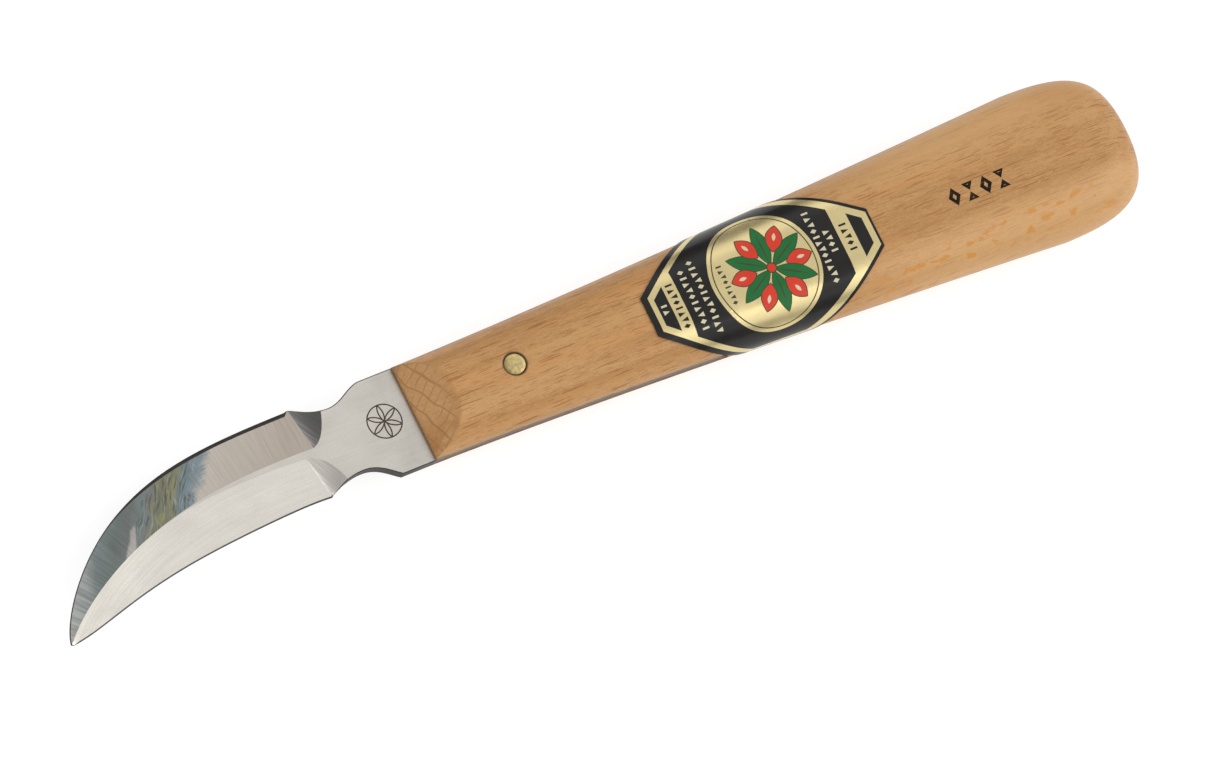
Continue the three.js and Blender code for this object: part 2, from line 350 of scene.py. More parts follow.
# ---------------------------------------------------------------- shader language


class Value:
    """A node's output socket, on which arithmetic adds Math nodes."""

    def __init__(self, shader, socket):
        self.shader = shader
        self.socket = socket

    def _math(self, operation, *inputs, clamp=False):
        settings = {"operation": operation, "use_clamp": clamp}
        return self.shader.node("ShaderNodeMath", settings, dict(enumerate(inputs)))

    def __add__(self, other):
        return self._math("ADD", self, other)

    def __radd__(self, other):
        return self._math("ADD", other, self)

    def __sub__(self, other):
        return self._math("SUBTRACT", self, other)

    def __rsub__(self, other):
        return self._math("SUBTRACT", other, self)

    def __mul__(self, other):
        return self._math("MULTIPLY", self, other)

    def __rmul__(self, other):
        return self._math("MULTIPLY", other, self)

    def __truediv__(self, other):
        return self._math("DIVIDE", self, other)

    def __rtruediv__(self, other):
        return self._math("DIVIDE", other, self)

    def sine(self):
        return self._math("SINE", self)

    def size(self):
        return self._math("ABSOLUTE", self)

    def clamped(self):
        return self._math("ADD", self, 0.0, clamp=True)

    def largest(self, other):
        return self._math("MAXIMUM", self, other)

    def step(self, low, high):
        """0 below low, 1 above high, smooth between; low may be above high."""
        settings = {"interpolation_type": "SMOOTHSTEP"}
        inputs = {"Value": self, "From Min": low, "From Max": high, "To Min": 0.0, "To Max": 1.0}
        return self.shader.node("ShaderNodeMapRange", settings, inputs)


class Nodes:
    """A node tree that is emptied and then written as expressions."""

    def __init__(self, tree):
        self.tree = tree
        tree.nodes.clear()

    def node(self, kind, settings=None, inputs=None, out=0):
        """Adds a node: its settings first, then the values or links of its sockets."""
        made = self.tree.nodes.new(kind)
        for key, value in (settings or {}).items():
            if key == "stops":
                self._stops(made.color_ramp, value)
            else:
                setattr(made, key, value)
        for key, value in (inputs or {}).items():
            self.connect(made.inputs[key], value)
        return None if out is None else Value(self, made.outputs[out])

    def connect(self, socket, value):
        if isinstance(value, Value):
            self.tree.links.new(value.socket, socket)
        else:
            socket.default_value = value

    @staticmethod
    def _stops(ramp, stops):
        while len(ramp.elements) < len(stops):
            ramp.elements.new(0.5)
        for element, (position, colour) in zip(ramp.elements, stops):
            element.position = position
            element.color = (*colour, 1) if len(colour) == 3 else colour

    def dot(self, vector, direction):
        """How far a vector goes in a direction."""
        inputs = {0: vector, 1: tuple(direction)}
        return self.node("ShaderNodeVectorMath", {"operation": "DOT_PRODUCT"}, inputs, "Value")


class Shader(Nodes):
    """A material with one Principled shader. Positions are in the knife's own millimetres."""

    def __init__(self, name, **constants):
        self.material = bpy.data.materials.get(name) or bpy.data.materials.new(name)
        self.material.use_nodes = True
        super().__init__(self.material.node_tree)
        surface = self.node("ShaderNodeBsdfPrincipled")
        self.surface = surface.socket.node
        self.node("ShaderNodeOutputMaterial", None, {"Surface": surface}, None)
        self.feed(**constants)
        place = self.node("ShaderNodeTexCoord", out="Object")
        scaled = self.node(
            "ShaderNodeVectorMath",
            {"operation": "MULTIPLY_ADD"},
            {0: place, 1: (1 / MM,) * 3, 2: tuple(-DATUM)},
        )
        self.place = scaled
        split = self.node("ShaderNodeSeparateXYZ", None, {0: scaled}).socket.node
        self.x, self.y, self.z = (Value(self, o) for o in split.outputs)

    def feed(self, **sockets):
        """Sets or links sockets of the Principled shader; an underscore stands for a space."""
        for key, value in sockets.items():
            if isinstance(value, tuple) and len(value) == 3:
                value = (*value, 1)
            self.connect(self.surface.inputs[key.replace("_", " ")], value)

    def stretched(self, x, y, z, shift=(0.0, 0.0, 0.0)):
        """The position divided by a size along each axis, for a pattern of that grain."""
        return self.node(
            "ShaderNodeVectorMath",
            {"operation": "MULTIPLY_ADD"},
            {0: self.place, 1: (1 / x, 1 / y, 1 / z), 2: shift},
        )

    def noise(self, vector, detail=2.0, roughness=0.5):
        inputs = {"Vector": vector, "Scale": 1.0, "Detail": detail, "Roughness": roughness}
        return self.node("ShaderNodeTexNoise", None, inputs)

    def cells(self, vector, out="Distance"):
        inputs = {"Vector": vector, "Scale": 1.0, "Randomness": 1.0}
        return self.node("ShaderNodeTexVoronoi", {"feature": "F1"}, inputs, out)

    def mix(self, factor, one, two, blend="MIX"):
        """One colour turning into another as factor goes from 0 to 1."""
        one, two = (c if isinstance(c, Value) else (*c, 1)[:4] for c in (one, two))
        settings = {"data_type": "RGBA", "blend_type": blend}
        return self.node("ShaderNodeMix", settings, {0: factor, 6: one, 7: two}, 2)

    def combined(self, x, y, z=0.0):
        """A vector from three values."""
        return self.node("ShaderNodeCombineXYZ", None, {0: x, 1: y, 2: z})

    def times(self, vector, factors):
        """A vector multiplied by a number along each axis."""
        return self.node("ShaderNodeVectorMath", {"operation": "MULTIPLY"}, {0: vector, 1: factors})

    def stored(self, name):
        """A value that the mesh holds for each vertex."""
        return self.node("ShaderNodeAttribute", {"attribute_name": name}, None, "Fac")

    def from_pin(self):
        """How far the position is from the pin's axis."""
        middle = self.combined(self.x - PIN_X, self.y)
        return self.node("ShaderNodeVectorMath", {"operation": "LENGTH"}, {0: middle}, "Value")

    def ramp(self, factor, *stops):
        return self.node("ShaderNodeValToRGB", {"stops": stops}, {0: factor})

    def bump(self, height, depth_mm, normal=None):
        """A bump whose height of 1 is the given number of millimetres."""
        inputs = {"Height": height, "Distance": depth_mm * MM, "Strength": 1.0}
        if normal is not None:
            inputs["Normal"] = normal
        return self.node("ShaderNodeBump", None, inputs)


# ---------------------------------------------------------------- settings


class KnifeBladeSettings(bpy.types.PropertyGroup):
    micro_bevel: bpy.props.FloatProperty(
        name="Micro bevel",
        description="Width of the honed edge, in millimetres",
        default=0.22,
        min=0.05,
        max=1.0,
    )
    back_chamfer: bpy.props.FloatProperty(
        name="Back chamfer",
        description="Width of the rounding along the blade's back, in millimetres",
        default=0.62,
        min=0.1,
        max=1.0,
    )
    steel: bpy.props.FloatVectorProperty(
        name="Steel",
        description="Colour of the bare steel",
        subtype="COLOR",
        size=3,
        default=(0.735, 0.695, 0.625),
        min=0,
        max=1,
    )


class KnifeHandleSettings(bpy.types.PropertyGroup):
    wood_light: bpy.props.FloatVectorProperty(
        name="Light wood",
        description="Colour of the wood between its growth rings",
        subtype="COLOR",
        size=3,
        default=(0.515, 0.276, 0.098),
        min=0,
        max=1,
    )
    wood_dark: bpy.props.FloatVectorProperty(
        name="Dark wood",
        description="Colour of the wood's denser bands",
        subtype="COLOR",
        size=3,
        default=(0.41, 0.2, 0.06),
        min=0,
        max=1,
    )
    ray_colour: bpy.props.FloatVectorProperty(
        name="Ray flecks",
        description="Colour of the rays that show as short dark dashes",
        subtype="COLOR",
        size=3,
        default=(0.30, 0.105, 0.014),
        min=0,
        max=1,
    )


class KnifeRivetSettings(bpy.types.PropertyGroup):
    brass: bpy.props.FloatVectorProperty(
        name="Brass",
        description="Colour of the brass pin",
        subtype="COLOR",
        size=3,
        default=(0.70, 0.545, 0.25),
        min=0,
        max=1,
    )


class KnifeLabelSettings(bpy.types.PropertyGroup):
    gold: bpy.props.FloatVectorProperty(
        name="Gold",
        description="Colour of the label's gold print",
        subtype="COLOR",
        size=3,
        default=(0.66, 0.545, 0.275),
        min=0,
        max=1,
    )
    margin: bpy.props.FloatProperty(
        name="Margin",
        description="Black margin outside the label's gold frame, in millimetres",
        default=0.65,
        min=0.1,
        max=3.0,
    )


class KnifeStageSettings(bpy.types.PropertyGroup):
    floor_colour: bpy.props.FloatVectorProperty(
        name="Floor",
        description="Colour of the plain floor",
        subtype="COLOR",
        size=3,
        default=(0.38, 0.38, 0.38),
        min=0,
        max=1,
    )


# ---------------------------------------------------------------- blade


STRIP_START = 0.55
STRIP_WIDTH = 1.2
TIP_SKIP = 0.01
FULL_RIDGE = 0.4
RIDGE_TIP = 0.175
SPINE = 0.35
SPINE_TIP = 0.15
EDGE = 0.05
TIP = (-59.8, -12.6)
BACK_CORNER = (-16.2, 7.12)
EDGE_CORNER = (-15.9, -6.68)
RIDGE_END = (-15.4, 0.7)
BACK_NOTCH = (-10.9, 5.12)
EDGE_NOTCH = (-10.3, -4.82)
RICASSO_FRONT = -5.2
LOW_ARC_X = -17.1
BACK_LINE = [TIP, (-59.1, -7.6), (-46.9, 6.2), (-37.6, 7.0), BACK_CORNER]
RIDGE_LINE = [TIP, (-55.18, -7.15), (-42.19, 0.24), (-30.56, 1.06), RIDGE_END]
EDGE_LINE = [TIP, (-51.83, -12.1), (-43.88, -6.29), (-32.1, -8.17), (-23.77, -6.08), EDGE_CORNER]
MARK_CENTRE = (-4.3, 0.5)
MARK_RADIUS = 2.5
STROKE = 0.2
STROKE_DEPTH = 0.06
TANG_SUNK = 0.12
TANG_HOLE_SPARE = 0.12
UPPER_ARC = [(-13.9, 1.05), (-12.75, 3.1)]
LOWER_ARC = [(-15.2, -0.7), (-13.8, -2.1)]
RUN_OUT_CURVE = 1.8
RIM_LIP = 0.1
BACK_LIP = 1.6


def smooth(low, high, t):
    """0 up to low, 1 from high, an S-curve between."""
    share = np.clip((np.asarray(t, float) - low) / (high - low), 0, 1)
    return share * share * (3 - 2 * share)


def lengthened(plan, z):
    """Plan points with their heights, as 3-D points."""
    return np.dstack([plan[..., 0], plan[..., 1], z])


def bevel_patches(settings):
    """The two long bevels of one side, and the borders that the flats share with them."""
    dense = np.linspace(0, 1, 2000)
    low_t = float(np.interp(LOW_ARC_X, bezier(RIDGE_LINE, dense)[:, 0], dense))
    stations = [np.linspace(TIP_SKIP, 1, 150), [STRIP_START, low_t], np.linspace(0.985, 0.999, 8)]
    t = np.unique(np.concatenate(stations))
    ridge, back = bezier(RIDGE_LINE, t), bezier(BACK_LINE, t)
    rise = 1 - (1 - np.minimum(t / FULL_RIDGE, 1)) ** 2
    ridge_z = RIDGE_TIP + (HALF_STOCK - RIDGE_TIP) * rise
    back_z = SPINE_TIP + (SPINE - SPINE_TIP) * t

    # back bevel, then its rounded corner at the blade's back
    width = np.hypot(*(ridge - back).T)
    fade = 1 - smooth(0.988, 0.9995, t)
    chamfer = (0.1 + (settings.back_chamfer - 0.1) * smooth(0.42, 0.75, t)) * fade + 1e-4
    share = (chamfer / width)[:, None]
    inset = back + (ridge - back) * share
    inset_z = back_z + (ridge_z - back_z) * share[:, 0]
    across = np.linspace(0, 1, 13)[None, :, None]
    plan = ridge[:, None] + (inset - ridge)[:, None] * across
    high = lengthened(plan, ridge_z[:, None] + (inset_z - ridge_z)[:, None] * across[..., 0])
    turn = np.linspace(0, 1, 5)[None, :]
    plan = inset[:, None] + (back - inset)[:, None] * turn[..., None]
    drop = np.minimum(chamfer * 0.75, inset_z * 0.7)[:, None]
    corner = lengthened(plan, inset_z[:, None] - drop * turn**1.6)

    # cutting bevel, then its honed edge
    keep = t <= low_t + 1e-9
    strip = STRIP_WIDTH * np.clip((t - STRIP_START) / (1 - STRIP_START), 0, 1)
    low = np.column_stack([ridge[:, 0], ridge[:, 1] - strip])
    edge = bezier(EDGE_LINE, np.minimum(t[keep] / low_t, 1))
    top, top_z = low[keep], ridge_z[keep]
    width = np.hypot(*(top - edge).T)
    honed = np.minimum(settings.micro_bevel, width * 0.2)
    share = (honed / width)[:, None]
    inset = edge + (top - edge) * share
    inset_z = EDGE + 0.06 + (top_z - EDGE - 0.06) * share[:, 0]
    plan = top[:, None] + (inset - top)[:, None] * across
    cutting = lengthened(plan, top_z[:, None] + (inset_z - top_z)[:, None] * across[..., 0])
    turn = np.linspace(0, 1, 3)[None, :]
    plan = inset[:, None] + (edge - inset)[:, None] * turn[..., None]
    honing = lengthened(plan, inset_z[:, None] + (EDGE - inset_z)[:, None] * turn)

    strip_at = t >= STRIP_START - 1e-9
    high_border = ridge[strip_at]
    low_border = low[strip_at & keep]
    return high, corner, cutting, honing, high_border, low_border


def notch(start, lean, deepest, slack):
    """The outline's curve from a bevel corner down to a notch's deepest place."""
    (sx, sy), (dx, dy) = start, deepest
    return [start, (sx + lean[0], sy + lean[1]), (dx - slack, dy), deepest]


def plunge_patch(column, arc, outline):
    """A grinding wheel's run-out: from a bevel's last column to an arc on the flat."""
    u = np.linspace(0, 1, 19)[:, None, None]
    v = np.linspace(0, 1, len(column))[None, :, None]
    left, right = column[None], arc[None]
    top = outline[:, None]
    plan = (1 - u) * left[..., :2] + u * right
    plan = plan + v * (top - (1 - u) * outline[0] - u * outline[-1])
    rise = u[..., 0] ** RUN_OUT_CURVE
    z = left[..., 2] + (HALF_STOCK - left[..., 2]) * rise
    return lengthened(plan, np.broadcast_to(z, plan.shape[:2]))


def mark_strokes():
    """A six-petalled rosette in a ring, drawn with compasses: closed ring and open arcs."""
    cx, cy = MARK_CENTRE
    turn = np.linspace(0, 2 * pi, 73)
    ring = np.column_stack([cx + MARK_RADIUS * np.cos(turn), cy + MARK_RADIUS * np.sin(turn)])
    arcs = []
    for k in range(6):
        aim = pi / 6 + k * pi / 3
        mx, my = cx + MARK_RADIUS * cos(aim), cy + MARK_RADIUS * sin(aim)
        sweep = aim + pi + np.linspace(-pi / 3, pi / 3, 31)
        x = mx + MARK_RADIUS * np.cos(sweep)
        y = my + MARK_RADIUS * np.sin(sweep)
        arcs.append(np.column_stack([x, y]))
    return ring, arcs


def offset_line(line, distance):
    """A line moved sideways, square to itself."""
    along = np.gradient(line, axis=0)
    along /= np.hypot(*along.T)[:, None]
    return line + np.column_stack([-along[:, 1], along[:, 0]]) * distance


def blade_flat(high_border, low_border, upper_arc, lower_arc, back_rest, edge_rest):
    """The strip, ricasso and tang as one plane region with the engraved mark cut into it."""
    inset = SIDE_ROUND * (1 - sqrt(1 - (HALF_STOCK / HALF_THICK) ** 2)) + TANG_SUNK
    x = np.linspace(0.4, TANG_LENGTH, 24)
    tang_back = np.column_stack([x, handle_half_width(x, 1) - inset])
    tang_edge = np.column_stack([x, inset - handle_half_width(x, -1)])
    outline = np.vstack(
        [
            high_border,
            upper_arc[1:],
            back_rest[1:],
            [(0, RICASSO_BACK)],
            tang_back,
            tang_edge[::-1],
            [(0, -RICASSO_EDGE)],
            edge_rest[1:][::-1],
            lower_arc[::-1],
            low_border[::-1][1:-1],
        ]
    )
    turn = np.linspace(0, 2 * pi, 49)[:-1]
    reach = PIN_RADIUS + TANG_HOLE_SPARE
    hole = np.column_stack([PIN_X + reach * np.cos(turn), reach * np.sin(turn)])
    ring, arcs = mark_strokes()
    closed = [offset_line(ring, d)[:-1] for d in (-STROKE / 2, 0, STROKE / 2)]
    opened = [offset_line(arc, d) for arc in arcs for d in (-STROKE / 2, 0, STROKE / 2)]
    flat, faces = triangulate([outline, hole, *closed], opened)
    middle = flat[faces].mean(axis=1)
    keep = ~inside(middle, hole)
    faces, middle = faces[keep], middle[keep]

    ends = np.vstack([ring[1:], *[arc[1:] for arc in arcs]])
    starts = np.vstack([ring[:-1], *[arc[:-1] for arc in arcs]])

    def from_strokes(points):
        near = np.full(len(points), 9.0)
        close = np.hypot(*(points - MARK_CENTRE).T) < MARK_RADIUS + 1
        for a, b in zip(starts, ends):
            run = b - a
            t = np.clip(((points[close] - a) @ run) / (run @ run), 0, 1)
            away = np.hypot(*(points[close] - a - t[:, None] * run).T)
            near[close] = np.minimum(near[close], away)
        return near

    depth = STROKE_DEPTH * np.clip(1 - from_strokes(flat) / (STROKE / 2), 0, 1)
    depth[depth < STROKE_DEPTH * 0.02] = 0
    cut = from_strokes(middle) < STROKE / 2 * 0.96
    points = np.column_stack([flat, HALF_STOCK - depth])
    return points, faces, np.where(cut, 4, 0)


def blade_mesh(settings):
    """The whole blade as a closed mesh in millimetres."""
    high, corner, cutting, honing, high_border, low_border = bevel_patches(settings)
    count = high.shape[1]
    back_curve = notch(BACK_CORNER, (1.5, -0.67), BACK_NOTCH, 2.4)
    edge_curve = notch(EDGE_CORNER, (1.1, 0.8), EDGE_NOTCH, 2.5)
    back_cut, edge_cut = 0.83, 0.62
    back_plunge = bezier(back_curve, np.linspace(0, back_cut, 19))
    edge_plunge = bezier(edge_curve, np.linspace(0, edge_cut, 19))
    nx, ny = BACK_NOTCH
    rx, ry = RICASSO_FRONT, RICASSO_BACK
    rise = bezier([(nx, ny), (nx + 2.3, ny), (rx - 2, ry - 0.2), (rx, ry)], np.linspace(0, 1, 25))
    back_rest = np.vstack([bezier(back_curve, np.linspace(back_cut, 1, 9)), rise[1:]])
    mx, my = EDGE_NOTCH
    ry = -RICASSO_EDGE
    fall = bezier([(mx, my), (mx + 2.4, my), (rx - 1.4, ry + 1), (rx, ry)], np.linspace(0, 1, 25))
    edge_rest = np.vstack([bezier(edge_curve, np.linspace(edge_cut, 1, 13)), fall[1:]])

    upper_arc = bezier([RIDGE_END, *UPPER_ARC, back_plunge[-1]], np.linspace(0, 1, count))
    column = np.vstack([cutting[-1], honing[-1][1:]])
    across = np.linspace(0, 1, len(column))
    lower_arc = bezier([low_border[-1], *LOWER_ARC, edge_plunge[-1]], across)

    shell = Shell()
    shell.grid(high, 1)
    # the back's rounded corner takes the walls' painted shade
    shell.grid(corner, 5)
    shell.grid(cutting, 2)
    shell.grid(honing, 6)
    # the run-outs start from the bevels' last columns
    upper = plunge_patch(high[-1], upper_arc, back_plunge)
    shell.grid(upper, 3)
    lower = plunge_patch(column, lower_arc, edge_plunge)
    shell.grid(lower[:, :count], 7)
    shell.grid(lower[:3, count - 1 :], 6)
    shell.grid(lower[2:, count - 1 :], 7)
    flat = blade_flat(high_border, low_border, upper_arc, lower_arc, back_rest, edge_rest)
    shell.add(*flat)
    bm = shell.build()
    rim_wall(bm, RIM_LIP, 5)
    return bm


def rim_wall(bm, lip, slot):
    """Mirrors a one-sided surface to z < 0 and joins the two by a wall with small rounded lips."""
    layer = bm.faces.layers.int["patch"]
    top_faces = list(bm.faces)
    rim = [e for e in bm.edges if e.is_boundary]
    outward = {}
    for edge in rim:
        loop = edge.link_loops[0]
        a, b = loop.vert.co, loop.link_loop_next.vert.co
        away = Vector((b.y - a.y, a.x - b.x, 0))
        if loop.face.normal.z < 0 or loop.face.calc_area() <= 0:
            away = -away
        if (edge.other_vert(loop.vert).co - loop.face.calc_center_median()).dot(away) < 0:
            away = -away
        for vert in edge.verts:
            outward[vert] = outward.get(vert, Vector((0, 0, 0))) + away.normalized()
    bottom = {v: bm.verts.new((v.co.x, v.co.y, -v.co.z)) for v in list(bm.verts)}
    for face in top_faces:
        twin = bm.faces.new([bottom[v] for v in reversed(face.verts)])
        twin.material_index = face.material_index
        twin[layer] = face[layer] + 1000
    lips = {}
    for vert, away in outward.items():
        width = lip * BACK_LIP if away.y > 0 else lip
        step = min(width, vert.co.z * 0.26) if vert.co.x < 0.2 else 0.004
        place = vert.co + away.normalized() * step
        upper = bm.verts.new((place.x, place.y, vert.co.z - step))
        lower = bm.verts.new((place.x, place.y, step - vert.co.z))
        lips[vert] = (upper, lower)
    for edge in rim:
        loop = edge.link_loops[0]
        a, b = loop.vert, loop.link_loop_next.vert
        (a_up, a_low), (b_up, b_low) = lips[a], lips[b]
        for patch, ring in (
            (951, (b, a, a_up, b_up)),
            (950, (b_up, a_up, a_low, b_low)),
            (952, (b_low, a_low, bottom[a], bottom[b])),
        ):
            wall = bm.faces.new(ring)
            wall.material_index = slot
            wall[layer] = patch


def steel(name, tint, roughness, across, lines, contrast=1.0, bump=0.002):
    """Ground steel, its grinding lines running across the blade or along it, a width apart."""
    shade = Shader(name, Metallic=1.0)
    along = shade.stored("along")
    aside = shade.stored("aside")
    combine = shade.combined(along, aside, shade.z)
    size = (lines, 9.0, 1.0) if across else (9.0, lines, 1.0)
    fine = shade.times(combine, tuple(1 / s for s in size))
    scratch = shade.noise(fine, detail=3.0, roughness=0.65)
    cloud = shade.noise(shade.stretched(5.0, 3.0, 3.0), detail=2.0)
    grit = shade.noise(shade.stretched(0.28, 0.22, 0.22), detail=2.0)
    amount = (scratch - 0.5) * 1.3 + (cloud - 0.5) * 0.6 + (grit - 0.5) * 0.6 + 0.5
    dark = tuple(c * (1 - 0.16 * contrast) for c in tint)
    light = tuple(min(c * (1 + 0.11 * contrast), 1.0) for c in tint)
    colour = shade.mix(amount.clamped(), dark, light)
    rough = (scratch - 0.5) * 0.16 + (cloud - 0.5) * 0.1 + roughness
    shade.feed(Base_Color=colour, Roughness=rough.clamped(), Normal=shade.bump(scratch, bump))
    return shade


class KNIFE_OT_blade(bpy.types.Operator):
    """Build the blade: two ground bevels a side, notched ricasso with its mark, and tang"""

    bl_idname = "knife.blade"
    bl_label = "Blade"

    def execute(self, context):
        settings = context.scene.knife_blade
        make_again("BladeGround")
        tint = tuple(settings.steel)
        bright = tuple(c * 1.09 for c in tint)
        # the lower run-out's darker tones are painted shade
        low_shaded = tuple(c * 0.74 for c in tint)
        low_bright = tuple(c * 0.93 for c in tint)
        bm = blade_mesh(settings)
        mark_sharp(bm, radians(28))
        materials = [
            ricasso_steel(tint),
            back_bevel_steel(),
            steel("CuttingBevel", bright, 0.2, False, 0.14, 0.7, 0.001).material,
            # both run-outs get dark tones that are painted shade
            plunge_steel("UpperPlunge", (0.155, 0.152, 0.146), (0.36, 0.35, 0.33), (-14.5, -16.4)),
            steel("EngravedMark", (0.10, 0.075, 0.06), 0.5, False, 0.2).material,
            dark_wall(),
            # the honed edge's dark tone is painted shade
            steel("HonedEdge", (0.075, 0.07, 0.065), 0.4, True, 0.12).material,
            plunge_steel("LowerPlunge", low_shaded, low_bright, (-13.2, -15.6)),
        ]
        blade = to_object(bm, "BladeGround", materials)
        lay_along(blade)
        finish_piece(blade, "blade_steel", "blade")
        return {"FINISHED"}


def ricasso_steel(tint):
    """The flat: satin, darker towards the handle, with a painted shadow of the handle's front close to
    it.
    """
    shade = steel("RicassoSatin", tuple(c * 0.88 for c in tint), 0.34, False, 0.1, bump=0.0012)
    clean = shade.surface.inputs["Base Color"].links[0].from_socket
    unevenness = shade.noise(shade.stretched(1.6, 2.6, 2.0, (3.0, 1.0, 0.0)), detail=3.0)
    # darker towards the handle, and a painted shadow of the handle's front close to it
    dimmed_with_shadow = shade.x.step(-9.0, -1.5) * 0.5 + shade.x.step(-1.6, -0.2) * 0.5
    dimmed_with_shadow = dimmed_with_shadow * (0.75 + (unevenness - 0.5) * 1.6)
    # a darker copy of the steel, for that darkening and the painted shadow
    worn = shade.mix(1.0, Value(shade, clean), (0.80, 0.79, 0.78), "MULTIPLY")
    shade.feed(Base_Color=shade.mix(dimmed_with_shadow.clamped(), Value(shade, clean), worn))
    return shade.material


def dark_wall():
    """Unpolished sides of the blade, painted dark as shade, and brighter where the tang lies in the
    handle.
    """
    shade = steel("DarkWall", (0.05, 0.048, 0.045), 0.5, False, 0.12)
    mottle = shade.noise(shade.stretched(1.5, 0.4, 0.3), detail=3.0)
    # the walls' dark tone is painted shade
    dark = shade.mix(mottle, (0.03, 0.028, 0.026), (0.085, 0.08, 0.075))
    bare = shade.mix(mottle, (0.10, 0.09, 0.075), (0.24, 0.22, 0.19))
    shade.feed(Base_Color=shade.mix(shade.x.step(-0.6, 0.6), dark, bare))
    return shade.material


def plunge_steel(name, shaded_tone, bright, fade):
    """A run-out: streaked by the wheel where it leaves the bevel, smooth where it ends; its dark tones
    are painted shade.
    """
    shade = Shader(name, Metallic=1.0)
    # the wheel's lines lie along the run-out's start, square to the blade
    tilt = shade.x + shade.y * 0.55
    lines = shade.noise(shade.combined(tilt / 0.11, shade.y / 5.0, shade.z / 4.0), detail=1.0)
    bands = shade.noise(shade.combined(tilt / 0.42, shade.y / 6.0, shade.z / 4.0), detail=1.0)
    streak = ((lines - 0.5) * 2.6 + (bands - 0.5) * 2.0 + 0.35).clamped()
    reach = (shade.x + (shade.y.size() - 4.0) * 0.45).step(*fade)
    # the streaks are the wheel's lines; the darkness of both colours is painted shade
    colour = shade.mix(streak * (reach * 0.85 + 0.15), shaded_tone, bright)
    rough = (lines - 0.5) * 0.15 + 0.28
    shade.feed(Base_Color=colour, Roughness=rough.clamped(), Normal=shade.bump(lines, 0.002))
    return shade.material


def lay_along(obj):
    """Stores how far along the ridge, and how far aside of it, every vertex of the blade lies."""
    dense = np.linspace(0, 1, 3000)
    line = bezier(RIDGE_LINE, dense)
    beyond = np.arange(RIDGE_END[0] + 0.1, TANG_LENGTH, 0.1)
    line = np.vstack([line, [(x, RIDGE_END[1]) for x in beyond]])
    walked = np.concatenate([[0], np.cumsum(np.hypot(*np.diff(line, axis=0).T))])
    mesh = obj.data
    co = np.zeros(len(mesh.vertices) * 3)
    mesh.vertices.foreach_get("co", co)
    plan = (co.reshape(-1, 3) / MM - DATUM)[:, :2]
    along, aside = np.zeros(len(plan)), np.zeros(len(plan))
    for start in range(0, len(plan), 500):
        part = plan[start : start + 500]
        gap = np.hypot(part[:, 0, None] - line[:, 0], part[:, 1, None] - line[:, 1])
        best = gap.argmin(axis=1)
        along[start : start + 500] = walked[best]
        sign = np.where(part[:, 1] < line[best, 1], -1, 1)
        aside[start : start + 500] = gap[np.arange(len(part)), best] * sign
    for name, values in (("along", along), ("aside", aside)):
        layer = mesh.attributes.new(name, "FLOAT", "POINT")
        layer.data.foreach_set("value", values.astype(np.float32))


# the polished back bevel's painted reflections, as streaks: a place along the blade, and its colour
REFLECTION_START = -62.0
REFLECTION_SPAN = 46.0
PAINTED_REFLECTIONS = [
    (-57.0, (0.98, 0.99, 0.95)),
    (-54.0, (0.72, 0.76, 0.73)),
    (-51.5, (0.42, 0.49, 0.47)),
    (-47.5, (0.26, 0.30, 0.285)),
    (-45.0, (0.24, 0.26, 0.25)),
    (-43.9, (0.25, 0.28, 0.27)),
    (-42.9, (0.25, 0.30, 0.295)),
    (-41.2, (0.25, 0.265, 0.245)),
    (-38.9, (0.235, 0.24, 0.165)),
    (-36.9, (0.27, 0.28, 0.19)),
    (-35.3, (0.20, 0.255, 0.28)),
    (-32.9, (0.28, 0.34, 0.36)),
    (-31.6, (0.62, 0.56, 0.49)),
    (-18.0, (0.52, 0.45, 0.38)),
]


